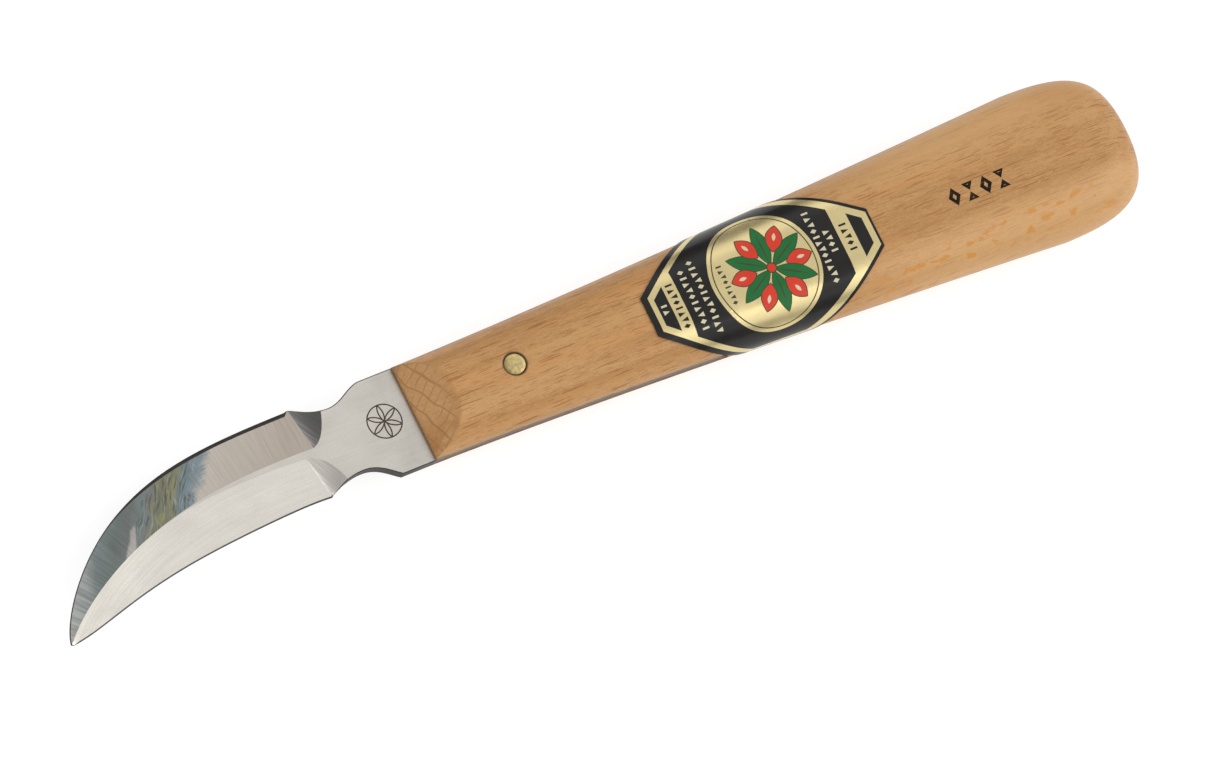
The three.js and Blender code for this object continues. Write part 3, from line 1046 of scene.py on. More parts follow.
def back_bevel_steel():
    """The back bevel: polished and, by painted reflections, dark towards the tip, satin towards the
    plunge.
    """
    shade = Shader("BackBevel", Metallic=1.0)
    along = shade.stored("along")
    aside = shade.stored("aside")
    combine = shade.combined(along, aside, shade.z)
    scratch = shade.noise(shade.times(combine, (7.0, 0.12, 1.0)), detail=3.0, roughness=0.6)
    wander = shade.noise(shade.stretched(2.5, 9.0, 4.0), detail=1.0)
    # the painted reflections lean back from the ridge
    ragged = shade.noise(shade.combined(shade.x / 3.0, aside / 0.22), detail=1.0)
    reading = shade.x - (aside - 2.7) * 0.8 + (wander - 0.5) * 2.4
    reading = reading + (ragged - 0.5) * (reading.step(-35.0, -32.6) * 1.9 + 0.05)
    place = (reading - REFLECTION_START) / REFLECTION_SPAN
    stops = [((x - REFLECTION_START) / REFLECTION_SPAN, colour) for x, colour in PAINTED_REFLECTIONS]
    reflections = shade.ramp(place, *stops)
    ground = shade.noise(shade.times(combine, (2.7, 0.05, 1.0)), detail=0.0)
    # the streaked part is broken up by more painted reflections: short dark blots, pale glints and olive
    # flares
    mottled = reading.step(-44.0, -42.0) * reading.step(-31.8, -33.4)
    dark_reflection_blots = shade.noise(shade.combined(reading / 0.4, aside / 1.9))
    painted_glints = shade.noise(shade.combined(reading / 0.22, aside / 3.0, 5.0))
    reflection_flares = shade.noise(shade.combined(reading / 0.6, aside / 2.2, 9.0), detail=1.0)
    olive_reflection = reflection_flares.step(0.52, 0.62) * reading.step(-42.5, -40.5) * reading.step(-34.5, -36.5)
    reflections = shade.mix(olive_reflection * 0.7, reflections, (0.34, 0.33, 0.17))
    reflections = shade.mix(dark_reflection_blots.step(0.53, 0.63) * mottled * 0.75, reflections, (0.13, 0.125, 0.10))
    reflections = shade.mix(painted_glints.step(0.56, 0.70) * mottled * 0.55, reflections, (0.50, 0.53, 0.52))
    # a painted highlight: a short pale flash of reflected light
    painted_flash = reading.step(-44.9, -44.3) * reading.step(-43.0, -43.5) * aside.step(2.9, 2.2)
    reflections = shade.mix(painted_flash * 0.75, reflections, (0.66, 0.60, 0.54))

    tip = shade.x.step(-44.0, -53.0)
    lined = (scratch - 0.5) * 1.3 + (ground - 0.5) * tip * 1.7 + 0.55
    worn = shade.mix(lined.clamped(), (0.66, 0.66, 0.66), (1.0, 1.0, 1.0))
    colour = shade.mix(1.0, reflections, worn, "MULTIPLY")
    satin = reading.step(-33.2, -31.4)
    rough = satin * 0.2 + 0.1 + (scratch - 0.5) * 0.1
    normal = shade.bump(scratch, 0.0015)
    shade.feed(Base_Color=colour, Roughness=rough.clamped(), Normal=normal)
    return shade.material


# ---------------------------------------------------------------- handle


INK_X = 88.25
INK_Y = -1.18
INK_PITCH = 2.5


def lozenge(x, y, half_x, half_y):
    """A lozenge round x, y."""
    return np.array([(x - half_x, y), (x, y - half_y), (x + half_x, y), (x, y + half_y)])


def stamp_shapes():
    """Four small chip-carver's motifs: (outline, inked or bare) in the order they are laid."""
    shapes = []
    for k in range(4):
        x = INK_X + (k - 1.5) * INK_PITCH
        if k % 2 == 0:
            shapes += [(lozenge(x, INK_Y, 0.95, 1.42), True), (lozenge(x, INK_Y, 0.3, 0.5), False)]
        else:
            for side in (-1, 1):
                tip = INK_Y + side * 0.1
                far = INK_Y + side * 1.36
                shapes += [(np.array([(x, tip), (x + 0.86, far), (x - 0.86, far)]), True)]
                near = tip + side * 0.86
                base = far - side * 0.3
                shapes += [(np.array([(x, near), (x + 0.24, base), (x - 0.24, base)]), False)]
    return shapes


def handle_mesh():
    """The handle's body as a closed pillow, with the stamp's inked regions in its upper flat."""
    outline = handle_outline(90, 45, 6.0)
    along = np.gradient(outline, axis=0)
    along /= np.hypot(*along.T)[:, None]
    inward = np.column_stack([-along[:, 1], along[:, 0]])
    turn = np.linspace(0, pi, 41)
    shell = Shell()
    rows = []
    for angle in turn:
        ring = outline + inward * SIDE_ROUND * (1 - sin(angle))
        rows.append(np.column_stack([ring, np.full(len(ring), HALF_THICK * cos(angle))]))
    flat_rim = outline + inward * (SIDE_ROUND + 0.35)
    for z, at in ((HALF_THICK, 0), (-HALF_THICK, len(rows) + 1)):
        rows.insert(at, np.column_stack([flat_rim, np.full(len(flat_rim), z)]))
    shell.grid(np.array(rows), 0)
    shapes = stamp_shapes()
    loops = [flat_rim] + [shape for shape, _ in shapes]
    flat, faces = triangulate(loops)
    middle = flat[faces].mean(axis=1)
    inked = np.zeros(len(faces), bool)
    for shape, ink in shapes:
        inked[inside(middle, shape)] = ink
    shell.add(np.column_stack([flat, np.full(len(flat), HALF_THICK)]), faces, np.where(inked, 1, 0))
    flat, faces = triangulate([flat_rim])
    shell.add(np.column_stack([flat, np.full(len(flat), -HALF_THICK)]), faces, 0)
    # close the overrun's front end, which is cut off anyway
    bm = shell.build()
    bmesh.ops.holes_fill(bm, edges=[e for e in bm.edges if e.is_boundary], sides=0)
    bmesh.ops.recalc_face_normals(bm, faces=bm.faces)
    return bm


def slice_off(bm, point, normal):
    """Cuts away what lies on a plane's far side, and closes the cut."""
    geometry = list(bm.verts) + list(bm.edges) + list(bm.faces)
    done = bmesh.ops.bisect_plane(
        bm, geom=geometry, dist=1e-5, plane_co=point, plane_no=normal, clear_outer=True
    )
    edges = [g for g in done["geom_cut"] if isinstance(g, bmesh.types.BMEdge)]
    bmesh.ops.holes_fill(bm, edges=edges, sides=0)


def prism(outline, low, high, axis):
    """A closed prism as a throwaway object: an outline drawn out along an axis (1 is y, 2 is z)."""
    bm = bmesh.new()

    def place(point, far):
        a, b = point
        return (a, far, b) if axis == 1 else (a, b, far)

    near = [bm.verts.new(place(p, low)) for p in outline]
    away = [bm.verts.new(place(p, high)) for p in outline]
    bm.faces.new(near)
    bm.faces.new(reversed(away))
    for i in range(len(near)):
        j = (i + 1) % len(near)
        bm.faces.new([near[j], near[i], away[i], away[j]])
    return bm


def subtract(bm, cutter):
    """bm without cutter, by an exact boolean. Both are in millimetres, and both are used up."""
    holder = []
    for part in (bm, cutter):
        bmesh.ops.recalc_face_normals(part, faces=part.faces)
        mesh = bpy.data.meshes.new("carving")
        part.to_mesh(mesh)
        part.free()
        obj = bpy.data.objects.new("carving", mesh)
        bpy.context.scene.collection.objects.link(obj)
        holder.append(obj)
    body, tool = holder
    modifier = body.modifiers.new("cut", "BOOLEAN")
    modifier.operation = "DIFFERENCE"
    modifier.solver = "EXACT"
    modifier.object = tool
    evaluated = body.evaluated_get(bpy.context.evaluated_depsgraph_get())
    made = bmesh.new()
    made.from_mesh(evaluated.to_mesh())
    evaluated.to_mesh_clear()
    for obj in holder:
        mesh = obj.data
        bpy.data.objects.remove(obj, do_unlink=True)
        bpy.data.meshes.remove(mesh)
    if not made.faces:
        raise RuntimeError("a cut left nothing of the handle")
    return made


def beech(settings):
    """Beech as one solid pattern, so that its faces, facets and rounded sides all agree."""
    shade = Shader("BeechOiled", Metallic=0.0, Specular_IOR_Level=0.45)
    light = tuple(settings.wood_light)
    dark = tuple(settings.wood_dark)
    ray = tuple(settings.ray_colour)
    broad = shade.noise(shade.stretched(38.0, 5.5, 7.0), detail=2.0)
    bands = shade.noise(shade.stretched(55.0, 2.2, 1.1, (3.0, 1.0, 7.0)), detail=3.0, roughness=0.6)
    fibre = shade.noise(shade.stretched(5.0, 0.16, 0.16), detail=3.0, roughness=0.7)
    pores = shade.noise(shade.stretched(1.1, 0.07, 0.07), detail=2.0)
    specks = shade.noise(shade.stretched(0.3, 0.17, 0.17), detail=2.0)
    tone = (broad - 0.5) * 1.4 + (bands - 0.5) * 2.8 + (fibre - 0.5) * 2.4
    tone = tone + (pores - 0.5) * 1.8 + (specks - 0.5) * 2.4
    wood = shade.mix((tone + 0.4).clamped(), light, dark)
    warm = shade.noise(shade.stretched(24.0, 3.0, 3.0, (1.0, 8.0, 2.0)), detail=2.0).step(0.5, 0.68)
    wood = shade.mix(warm * 0.4, wood, (0.56, 0.25, 0.075))

    # rays: short dark dashes where they are cut across, broad flecks where they are laid open
    def flecks(length, thick, reach, drift, some):
        vector = shade.stretched(length, thick, reach, drift)
        near = shade.cells(vector)
        pick = shade.cells(vector, out="Color")
        chosen = shade.node("ShaderNodeSeparateColor", None, {0: pick}).step(some, some + 0.25)
        return near.step(0.3, 0.23) * chosen

    rays = flecks(7.5, 0.34, 3.4, (0.0, 0.0, 0.0), 0.45)
    rays = rays.largest(flecks(4.4, 0.24, 2.4, (5.3, 2.7, 1.1), 0.3) * 0.9)
    rays = rays.largest(flecks(2.4, 0.2, 1.6, (2.1, 7.7, 3.1), 0.3) * 0.7)
    wood = shade.mix(rays * 0.74, wood, ray)

    # end grain on the facets drinks more oil, and shows rings and rays as a net
    depth = shade.z.size() - FRONT_FLAT / 2
    slope = FACET_LENGTH / (HALF_THICK - FRONT_FLAT / 2)
    facet = (shade.x - depth * slope).step(0.12, 0.02) * depth.step(4.1, 2.4) * 0.85
    bend = (shade.noise(shade.stretched(7.0, 5.0, 5.0), detail=1.0) - 0.5) * 2.2
    height = shade.z.size()

    def net_lines(across, pitch, thin):
        wave = ((across + bend) * (2 * pi / pitch)).sine()
        return wave.step(1 - thin, 1.0)

    rings = net_lines(shade.y * 0.287 + height * 0.954, 1.5, 0.14)
    rays_cut = net_lines(shade.y * -0.68 + height * 0.733, 0.95, 0.16)
    patchy = shade.noise(shade.stretched(3.0, 2.6, 2.6, (4.0, 2.0, 0.0)), detail=1.0).step(0.3, 0.6)
    net = rings.largest(rays_cut * patchy)
    speckle = shade.noise(shade.stretched(0.45, 0.3, 0.3), detail=3.0)
    tone = (speckle - 0.5) * 1.1 + (broad - 0.5) * 0.5 + 0.3
    grain = shade.mix(tone.clamped(), (0.60, 0.33, 0.135), (0.40, 0.195, 0.065))
    grain = shade.mix(net * 0.6, grain, (0.27, 0.115, 0.035))
    soaked = shade.noise(shade.stretched(2.0, 1.6, 1.6), detail=2.0).step(0.3, 0.62)
    lower = shade.y.step(-0.5, -6.5) * soaked
    grain = shade.mix(lower * 0.75, grain, (0.34, 0.14, 0.035))
    wood = shade.mix(facet, wood, grain)

    # the shoulders are painted lighter towards the butt, as a sheen of light on their rounding
    shoulder_sheen = (shade.y.size() + (broad - 0.5) * 4.0).step(3.6, 7.0) * shade.x.step(58.0, 82.0)
    wood = shade.mix(shoulder_sheen * 0.5, wood, (0.66, 0.385, 0.165))

    # stained patches along the edge-side flank towards the butt, and painted shade on the rounded edge
    # at the butt's back corner
    flank = shade.y.step(-6.0, -7.2) * shade.y.step(-10.8, -9.6)
    flank = flank * shade.x.step(67.0, 72.0) * shade.x.step(110.0, 104.0)
    blotch = shade.noise(shade.stretched(2.4, 1.3, 1.5, (9.0, 4.0, 2.0)), detail=3.0).step(0.56, 0.61)
    wood = shade.mix(flank * blotch * 0.9, wood, (0.56, 0.235, 0.035))
    # painted shade on the rounded back edge at the butt
    corner = shade.x.step(97.0, 108.0) * shade.y.step(4.0, 7.5)
    wood = shade.mix(corner * 0.4, wood, (0.45, 0.20, 0.055))

    # painted shade: darker on the back's side, from a little above the middle of the thickness downwards
    painted_back_shade = (shade.z - 1.9).step(0.9, -0.3) * shade.y.step(5.0, 7.0)
    wood = shade.mix(painted_back_shade * 0.45, wood, (0.16, 0.085, 0.04))

    # a darker ring where the pin was driven
    wood = shade.mix(shade.from_pin().step(1.95, 1.68) * 0.9, wood, (0.07, 0.04, 0.015))
    rough = (fibre - 0.5) * 0.14 + rays * 0.05 + facet * 0.2 + 0.44
    height = fibre * 0.5 + pores * 0.35 - rays * 0.35
    sanded = shade.node("ShaderNodeBevel", {"samples": 8}, {"Radius": 0.9 * MM}, "Normal")
    normal = shade.bump(height, 0.02, sanded)
    shade.feed(Base_Color=wood, Roughness=rough.clamped(), Normal=normal)
    return shade.material


def stamp_ink(settings):
    """Black ink that has sunk into the grain unevenly."""
    shade = Shader("StampInk", Metallic=0.0, Specular_IOR_Level=0.12)
    fibre = shade.noise(shade.stretched(1.6, 0.14, 0.14), detail=3.0, roughness=0.7)
    thin = shade.noise(shade.stretched(0.9, 0.5, 0.5), detail=2.0)
    worn = ((fibre - 0.5) * 1.4 + (thin - 0.5) * 1.2 - 0.1).clamped()
    colour = shade.mix(worn * 0.6, (0.010, 0.006, 0.003), tuple(settings.wood_dark))
    shade.feed(Base_Color=colour, Roughness=(fibre - 0.5) * 0.2 + 0.5, Normal=shade.bump(fibre, 0.015))
    return shade.material


class KNIFE_OT_handle(bpy.types.Operator):
    """Build the beech handle, with its two front facets, saw kerf and stamp"""

    bl_idname = "knife.handle"
    bl_label = "Handle"

    def execute(self, context):
        settings = context.scene.knife_handle
        make_again("HandleBeech")
        bm = handle_mesh()
        slice_off(bm, (0, 0, 0), (-1, 0, 0))
        rise = HALF_THICK - FRONT_FLAT / 2
        for side in (-1, 1):
            slice_off(bm, (0, 0, side * FRONT_FLAT / 2), (-rise, 0, side * FACET_LENGTH))
        half = HALF_STOCK + KERF_CLEARANCE
        centre = TANG_LENGTH + KERF_SPARE - SAW_RADIUS
        spread = np.linspace(-0.5, 0.5, 61)
        arc = [(centre + SAW_RADIUS * cos(a), SAW_RADIUS * sin(a)) for a in spread]
        kerf = prism([(-8, arc[0][1]), *arc, (-8, arc[-1][1])], -half, half, 2)
        bm = subtract(bm, kerf)
        turn = np.linspace(0, 2 * pi, 65)[:-1]
        reach = PIN_RADIUS + PIN_CLEARANCE
        bore = prism([(PIN_X + reach * cos(a), reach * sin(a)) for a in turn], -20, 20, 2)
        bm = subtract(bm, bore)
        mark_sharp(bm, radians(24), seams=False)
        handle = to_object(bm, "HandleBeech", [beech(settings), stamp_ink(settings)])
        finish_piece(handle, "handle_beech", "handle")
        return {"FINISHED"}


# ---------------------------------------------------------------- pin


class KNIFE_OT_rivet(bpy.types.Operator):
    """Build the brass pin, hammered over a little and filed flush with the wood"""

    bl_idname = "knife.rivet"
    bl_label = "Pin"

    def execute(self, context):
        settings = context.scene.knife_rivet
        make_again("PinBrass")
        half = HALF_THICK + 0.02
        turn = np.linspace(0, 2 * pi, 97)
        # radius share and depth below the crown, from the middle of a head out to the shank
        profile = [(0.0, 0.0), (0.25, 0.004), (0.5, 0.014), (0.7, 0.03), (0.84, 0.055)]
        profile += [(0.92, 0.09), (0.97, 0.14), (1.0, 0.22)]
        rows = []
        uneven = 0.012 * np.sin(2 * turn + 0.6) + 0.010 * np.sin(3 * turn + 2.1)
        uneven += 0.006 * np.sin(7 * turn)
        for side in (1, -1):
            rings = profile if side > 0 else profile[::-1]
            for share, depth in rings:
                radius = PIN_RADIUS * share * (1 + uneven * share)
                z = side * (half - depth)
                rows.append(
                    np.column_stack(
                        [PIN_X + radius * np.cos(turn), radius * np.sin(turn), np.full(len(turn), z)]
                    )
                )
        shell = Shell()
        shell.grid(np.array(rows), 0)
        bm = shell.build(1e-4)
        mark_sharp(bm, radians(50), seams=False)
        pin = to_object(bm, "PinBrass", [filed_brass(settings)])
        finish_piece(pin, "pin_brass", "rivet")
        return {"FINISHED"}


def filed_brass(settings):
    """Brass filed in one direction, dented by the hammer and darkened at its rim."""
    shade = Shader("BrassFiled", Metallic=1.0)
    tint = tuple(settings.brass)
    dents = shade.noise(shade.stretched(0.5, 0.5, 2.0), detail=3.0)
    file_lines = shade.noise(shade.stretched(0.06, 1.4, 1.0), detail=2.0)
    rim = shade.from_pin().step(1.2, 1.6)
    colour = shade.mix((dents * 2.6 - 0.85).clamped(), tuple(c * 0.66 for c in tint), tint)
    colour = shade.mix(rim * 0.6, colour, (0.24, 0.15, 0.05))
    rough = (dents - 0.5) * 0.2 + (file_lines - 0.5) * 0.15 + 0.34
    height = dents * 0.8 + file_lines * 0.2
    shade.feed(Base_Color=colour, Roughness=rough.clamped(), Normal=shade.bump(height, 0.05))
    return shade.material


# ---------------------------------------------------------------- label


BLACK, GOLD, GREEN, RED, VEIN, PALE = range(6)
OVAL = (0.45, 0.1)
OVAL_HALF = (8.2, 8.9)
# rows of tiny motifs: place along, lowest, highest, pitch, print and, where it differs, size
MARK_ROWS = [
    (-11.0, -4.3, 4.5, 0.95, PALE),
    (-9.15, -5.3, 4.7, 0.95, PALE),
    (9.45, -4.9, 5.1, 0.95, PALE),
    (11.1, -0.9, 2.1, 0.95, PALE),
    (-13.45, -3.1, 3.1, 0.9, BLACK, 0.55),
    (13.7, -1.7, 2.1, 0.95, BLACK, 0.55),
    (-15.4, -0.3, 0.7, 0.95, PALE, 0.45),
    (-5.6, -2.6, 3.1, 0.8, VEIN, 0.42),
]


def octagon(half_x, end, half_y, corner):
    """An octagon with its short ends at +-half_x and its long sides at +-half_y."""
    quarter = [(half_x, end), (corner, half_y)]
    points = quarter + [(-x, y) for x, y in quarter[::-1]]
    return np.array(points + [(-x, -y) for x, y in points])


def ellipse(centre, half, count=120):
    """An ellipse as a closed loop of points."""
    turn = np.linspace(0, 2 * pi, count + 1)[:-1]
    return np.column_stack([centre[0] + half[0] * np.cos(turn), centre[1] + half[1] * np.sin(turn)])


def petal(centre, aim, start, length, width):
    """A pointed oval petal, from start to start + length out from a centre."""
    t = np.linspace(0, 1, 15)
    bulge = width * np.sin(t * pi) ** 0.85
    along = start + length * t
    side = np.concatenate([bulge, -bulge[::-1][1:-1]])
    along = np.concatenate([along, along[::-1][1:-1]])
    x = centre[0] + along * cos(aim) - side * sin(aim)
    y = centre[1] + along * sin(aim) + side * cos(aim)
    return np.column_stack([x, y])


def mark_row(x, low, high, pitch, slot, size=0.5):
    """A row of tiny lozenges, bars and triangles, up the label at x."""
    shapes = []
    count = int(round((high - low) / pitch))
    for k in range(count + 1):
        y = low + pitch * k
        kind = (k * 7 + int(abs(x) * 3)) % 4
        wide, tall = size, pitch * 0.36
        if kind == 0:
            shape = lozenge(x, y, wide, tall)
        elif kind == 1:
            low_y = y - tall * 0.45
            high_y = y + tall * 0.45
            shape = [(x - wide, low_y), (x + wide, low_y), (x + wide, high_y), (x - wide, high_y)]
        elif kind == 2:
            shape = [(x - wide, y - tall), (x + wide, y), (x - wide, y + tall)]
        else:
            shape = [(x + wide, y - tall), (x + wide, y + tall), (x - wide, y)]
        shapes.append((np.array(shape), slot))
    return shapes


def label_art(margin):
    """What is printed on the label, in the order it is laid: (outline, slot)."""
    end = LABEL_LENGTH / 2 - margin
    shapes = [
        (octagon(end, 2.6, 11.9, 4.8) + (0.3, 0), GOLD),
        (octagon(12.5, 5.0, 11.15, 4.1), BLACK),
    ]
    for side, near in ((-1, 14.46), (1, 14.9)):
        trapezoid = [(near + 1.86, 2.0), (near, 3.45), (near, -3.45), (near + 1.86, -2.0)]
        shapes.append((np.array([(side * x, y) for x, y in trapezoid]), BLACK))
    for shrink, slot in ((0.0, GOLD), (0.55, VEIN), (0.72, GOLD)):
        half = (OVAL_HALF[0] - shrink, OVAL_HALF[1] - shrink)
        shapes.append((ellipse(OVAL, half), slot))
    for row in MARK_ROWS:
        shapes += mark_row(*row)
    # the carver's rosette: six green petals with veins, and red chips between them
    centre = (1.5, 0.1)
    for k in range(6):
        aim = k * pi / 3 + pi / 6
        shapes.append((petal(centre, aim, 0.3, 6.4, 1.2), VEIN))
        shapes.append((petal(centre, aim, 0.5, 6.0, 1.05), GREEN))
        shapes.append((petal(centre, aim, 0.9, 4.6, 0.13), VEIN))
        between = k * pi / 3
        shapes.append((petal(centre, between, 2.25, 4.2, 1.28), VEIN))
        shapes.append((petal(centre, between, 2.42, 3.85, 1.13), RED))
        shapes.append((petal(centre, between, 4.0, 1.2, 0.26), PALE))
    shapes.append((ellipse(centre, (0.8, 0.8), 30), VEIN))
    shapes.append((ellipse(centre, (0.62, 0.62), 30), RED))
    return shapes


def label_mesh(margin):
    """The printed foil, wrapped round the handle, with its art as regions of the surface."""
    corner = (LABEL_GIRTH - LABEL_END) / 2 / LABEL_SLANT
    outline = octagon(LABEL_LENGTH / 2, LABEL_END / 2, LABEL_GIRTH / 2, LABEL_LENGTH / 2 - corner)
    outline = subdivided(outline, 0.45)
    shapes = [(subdivided(shape, 0.8), slot) for shape, slot in label_art(margin)]
    xs = np.arange(-LABEL_LENGTH / 2 + 0.3, LABEL_LENGTH / 2, 0.8)
    ys = np.arange(-LABEL_GIRTH / 2 + 0.2, LABEL_GIRTH / 2, 0.4)
    grid = np.array([(x, y) for x in xs for y in ys])
    grid = grid[inside(grid, outline * 0.985)]
    flat, faces = triangulate([outline] + [shape for shape, _ in shapes], points=grid)
    middle = flat[faces].mean(axis=1)
    slots = np.full(len(faces), BLACK)
    for shape, slot in shapes:
        slots[inside(middle, shape)] = slot
    top = on_handle(LABEL_X + flat[:, 0], LABEL_SHIFT + flat[:, 1], LABEL_GAP + LABEL_THICK)
    shell = Shell()
    shell.add(top, faces, slots)
    bm = shell.build(1e-5)

    def below(vert):
        x, y = nearest(top, flat, vert.co)
        return tuple(on_handle([LABEL_X + x], [LABEL_SHIFT + y], LABEL_GAP)[0])

    thicken(bm, below, BLACK)
    return bm


def nearest(places, values, point):
    """The value that belongs to the place nearest a point."""
    gap = ((places - np.array(point)) ** 2).sum(axis=1)
    return values[int(gap.argmin())]


def subdivided(loop, step):
    """A closed loop with its long sides split into steps."""
    points = []
    for a, b in zip(loop, np.roll(loop, -1, axis=0)):
        count = max(1, int(ceil(np.hypot(*(b - a)) / step)))
        points += [a + (b - a) * k / count for k in range(count)]
    return np.array(points)


def printed(name, colour, metallic, roughness, mottled=0.12):
    """A printed foil finish: faint mottling, a lacquer over it, and slight waves of the foil."""
    shade = Shader(name, Metallic=metallic, Coat_Roughness=0.12, Specular_IOR_Level=0.26)
    cloud = shade.noise(shade.stretched(1.8, 1.8, 1.8), detail=2.0)
    specks = shade.noise(shade.stretched(0.09, 0.09, 0.09), detail=1.0)
    amount = ((cloud - 0.5) + (specks - 0.5) * 0.6 + 0.5).clamped()
    low = tuple(c * (1 - mottled) for c in colour)
    high = tuple(min(c * (1 + mottled) + 0.004, 1.0) for c in colour)
    waves = shade.noise(shade.stretched(7.0, 2.4, 2.4), detail=1.0)
    normal = shade.bump(waves * 0.9 + specks * 0.02, 0.05)
    coat = 0.04 + (cloud - 0.5) * 0.06
    rough = (cloud - 0.5) * 0.14 + roughness
    shade.feed(Base_Color=shade.mix(amount, low, high), Roughness=rough, Coat_Weight=coat, Normal=normal)
    return shade.material


class KNIFE_OT_label(bpy.types.Operator):
    """Build the foil label, wrapped over the handle's middle"""

    bl_idname = "knife.label"
    bl_label = "Label"

    def execute(self, context):
        settings = context.scene.knife_label
        make_again("LabelFoil")
        bm = label_mesh(settings.margin)
        mark_sharp(bm, radians(40), seams=False)
        gold = tuple(settings.gold)
        materials = [
            printed("PrintBlack", (0.007, 0.006, 0.005), 0.0, 0.22),
            printed("PrintGold", gold, 0.95, 0.27, 0.05),
            printed("PrintGreen", (0.001, 0.13, 0.022), 0.0, 0.35),
            printed("PrintRed", (0.60, 0.035, 0.012), 0.0, 0.35),
            printed("PrintLine", (0.045, 0.045, 0.018), 0.0, 0.4),
            printed("PrintPale", (0.60, 0.54, 0.37), 0.1, 0.4),
        ]
        label = to_object(bm, "LabelFoil", materials)
        finish_piece(label, "label_foil", "label")
        return {"FINISHED"}


# ---------------------------------------------------------------- stage


LEAN_TO_TIP = radians(19.5)
LEAN_TO_EDGE = radians(14.2)
ROLL = radians(21.8)
CAMERA_MM = 4000.0
FRAME_MM = 168.61
AIM = (26.67, 4.86)
SENSOR_MM = 36.0
AIM_START = 0.479
FLOOR_GAP = 0.05  # keeps the floor clear of the handle's underside
FLOOR_RADIUS = 3.0


def view_axes():
    """The camera's right, up and back directions."""
    lean, tilt = LEAN_TO_TIP, LEAN_TO_EDGE
    along = Vector((cos(lean), -sin(lean) * sin(tilt), sin(lean) * cos(tilt)))
    across = Vector((0, cos(tilt), sin(tilt)))
    back = Vector((-sin(lean), -cos(lean) * sin(tilt), cos(lean) * cos(tilt)))
    right = along * cos(ROLL) - across * sin(ROLL)
    up = along * sin(ROLL) + across * cos(ROLL)
    return right, up, back


def area_light(name, direction, distance, size, power, colour=(1, 1, 1)):
    """A soft panel that shines at the knife from a direction. Distance and size are in metres."""
    data = bpy.data.lights.new(name, "AREA")
    data.shape = "RECTANGLE"
    data.size, data.size_y = size
    data.energy = power
    data.color = colour
    lamp = bpy.data.objects.new(name, data)
    way = Vector(direction).normalized()
    lamp.location = way * distance
    lamp.rotation_mode = "QUATERNION"
    lamp.rotation_quaternion = way.to_track_quat("Z", "Y")
    bpy.context.scene.collection.objects.link(lamp)


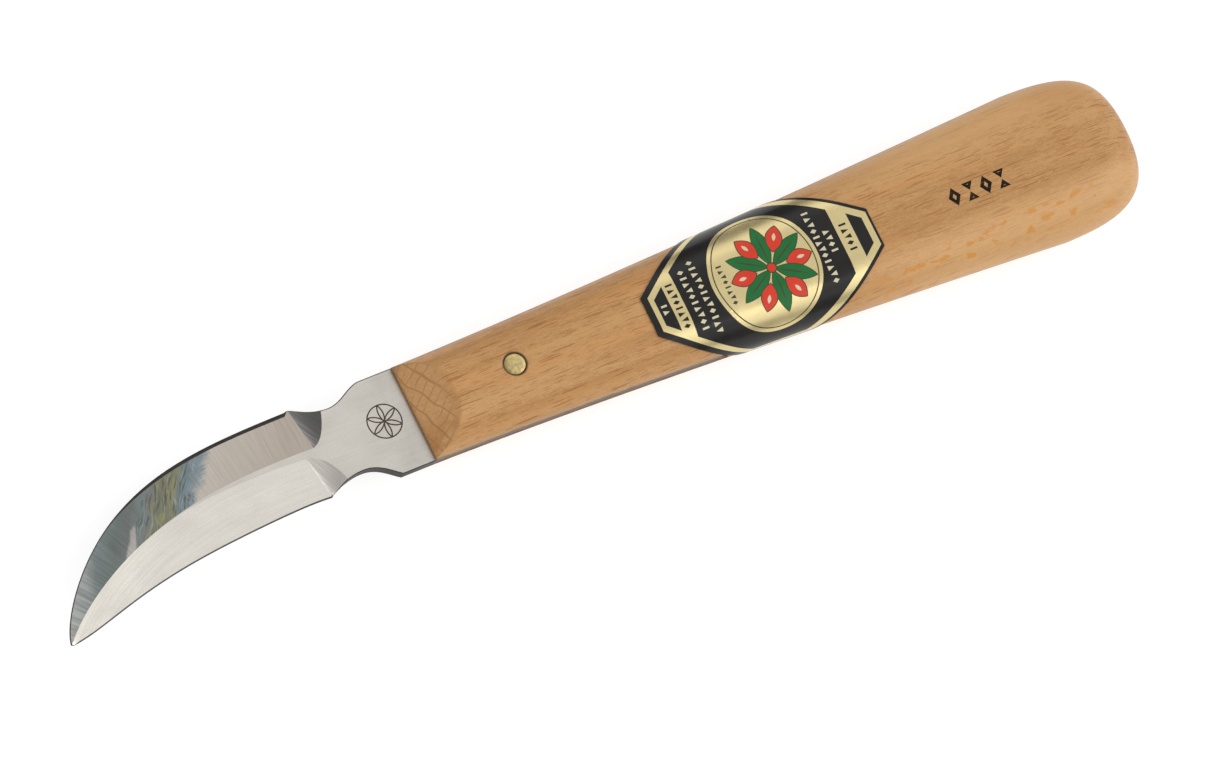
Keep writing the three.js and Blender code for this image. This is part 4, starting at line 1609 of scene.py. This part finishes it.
class KNIFE_OT_stage(bpy.types.Operator):
    """Lay the floor, set the soft light and aim the camera"""

    bl_idname = "knife.stage"
    bl_label = "Stage"

    def execute(self, context):
        settings = context.scene.knife_stage
        scene = context.scene
        bm = bmesh.new()
        bmesh.ops.create_circle(bm, cap_ends=True, segments=96, radius=FLOOR_RADIUS)
        mesh = bpy.data.meshes.new("Floor")
        bm.to_mesh(mesh)
        bm.free()
        floor = bpy.data.objects.new("Floor", mesh)
        scene.collection.objects.link(floor)
        floor.location.z = -FLOOR_GAP * MM
        shade = Shader("FloorPaper", Roughness=0.9, Specular_IOR_Level=0.2)
        tone = shade.noise(shade.stretched(400.0, 400.0, 400.0), detail=1.0)
        colour = tuple(settings.floor_colour)
        shade.feed(Base_Color=shade.mix(tone, tuple(c * 0.985 for c in colour), colour))
        shade.feed(Emission_Color=(1, 1, 1), Emission_Strength=0.72)
        mesh.materials.append(shade.material)

        area_light("KeySoftbox", (0.75, -0.35, 0.62), 1.5, (1.2, 1.2), 6.0, (1.0, 0.99, 0.97))

        world = bpy.data.worlds.new("Tent")
        scene.world = world
        world.use_nodes = True
        sky = Nodes(world.node_tree)
        way = sky.node("ShaderNodeTexCoord", out="Generated")
        height = sky.dot(way, (0, 0, 1))
        walls = 0.5 + height.step(0.3, 0.58) * 0.85 - height.step(0.74, 0.93) * 0.53
        back_wall = 1.0 - sky.dot(way, (0, 1, 0)).step(0.62, 0.9) * 0.45
        side = 0.9 + sky.dot(way, (1, 0, 0)).step(-0.5, 0.5) * 0.15
        overhead = Vector((-0.1, 0.33, 0.94)).normalized()
        flag = 1.0 - sky.dot(way, overhead).step(0.922, 0.965) * 0.47
        background = sky.node(
            "ShaderNodeBackground",
            None,
            {"Color": (0.985, 0.99, 1.0, 1), "Strength": walls * side * flag * back_wall},
        )
        sky.node("ShaderNodeOutputWorld", None, {"Surface": background}, None)

        right, up, back = view_axes()
        start = Vector(DATUM) + Vector((AIM_START, 0, 0))
        centre = (start + right * AIM[0] + up * AIM[1]) * MM
        data = bpy.data.cameras.new("Camera")
        data.sensor_width = SENSOR_MM
        data.lens = SENSOR_MM * CAMERA_MM / FRAME_MM
        data.clip_end = 50
        camera = bpy.data.objects.new("Camera", data)
        scene.collection.objects.link(camera)
        turn = Matrix((right, up, back)).transposed().to_4x4()
        camera.matrix_world = Matrix.Translation(centre + back * CAMERA_MM * MM) @ turn
        scene.camera = camera
        scene.view_settings.view_transform = "Standard"
        return {"FINISHED"}


class KNIFE_PT_panel(bpy.types.Panel):
    """Lists the knife's pieces and their settings"""

    bl_idname = "KNIFE_PT_panel"
    bl_label = "Chip carving knife"
    bl_space_type = "VIEW_3D"
    bl_region_type = "UI"
    bl_category = "Carving Knife"

    def draw(self, context):
        scene = context.scene
        for operator, group in STEPS:
            box = self.layout.box()
            box.operator(operator.bl_idname)
            if group:
                settings = getattr(scene, group)
                for name in settings.__annotations__:
                    box.prop(settings, name)


STEPS = (
    (KNIFE_OT_stage, "knife_stage"),
    (KNIFE_OT_handle, "knife_handle"),
    (KNIFE_OT_blade, "knife_blade"),
    (KNIFE_OT_rivet, "knife_rivet"),
    (KNIFE_OT_label, "knife_label"),
)

SETTINGS = {
    "knife_stage": KnifeStageSettings,
    "knife_handle": KnifeHandleSettings,
    "knife_blade": KnifeBladeSettings,
    "knife_rivet": KnifeRivetSettings,
    "knife_label": KnifeLabelSettings,
}


def register():
    for name, group in SETTINGS.items():
        bpy.utils.register_class(group)
        setattr(bpy.types.Scene, name, bpy.props.PointerProperty(type=group))
    for operator, _ in STEPS:
        bpy.utils.register_class(operator)
    bpy.utils.register_class(KNIFE_PT_panel)


def unregister():
    bpy.utils.unregister_class(KNIFE_PT_panel)
    for operator, _ in reversed(STEPS):
        bpy.utils.unregister_class(operator)
    for name, group in SETTINGS.items():
        delattr(bpy.types.Scene, name)
        bpy.utils.unregister_class(group)


def main():
    register()
    for operator, _ in STEPS:
        prefix, name = operator.bl_idname.split(".")
        getattr(getattr(bpy.ops, prefix), name)()


if __name__ == "__main__":
    main()
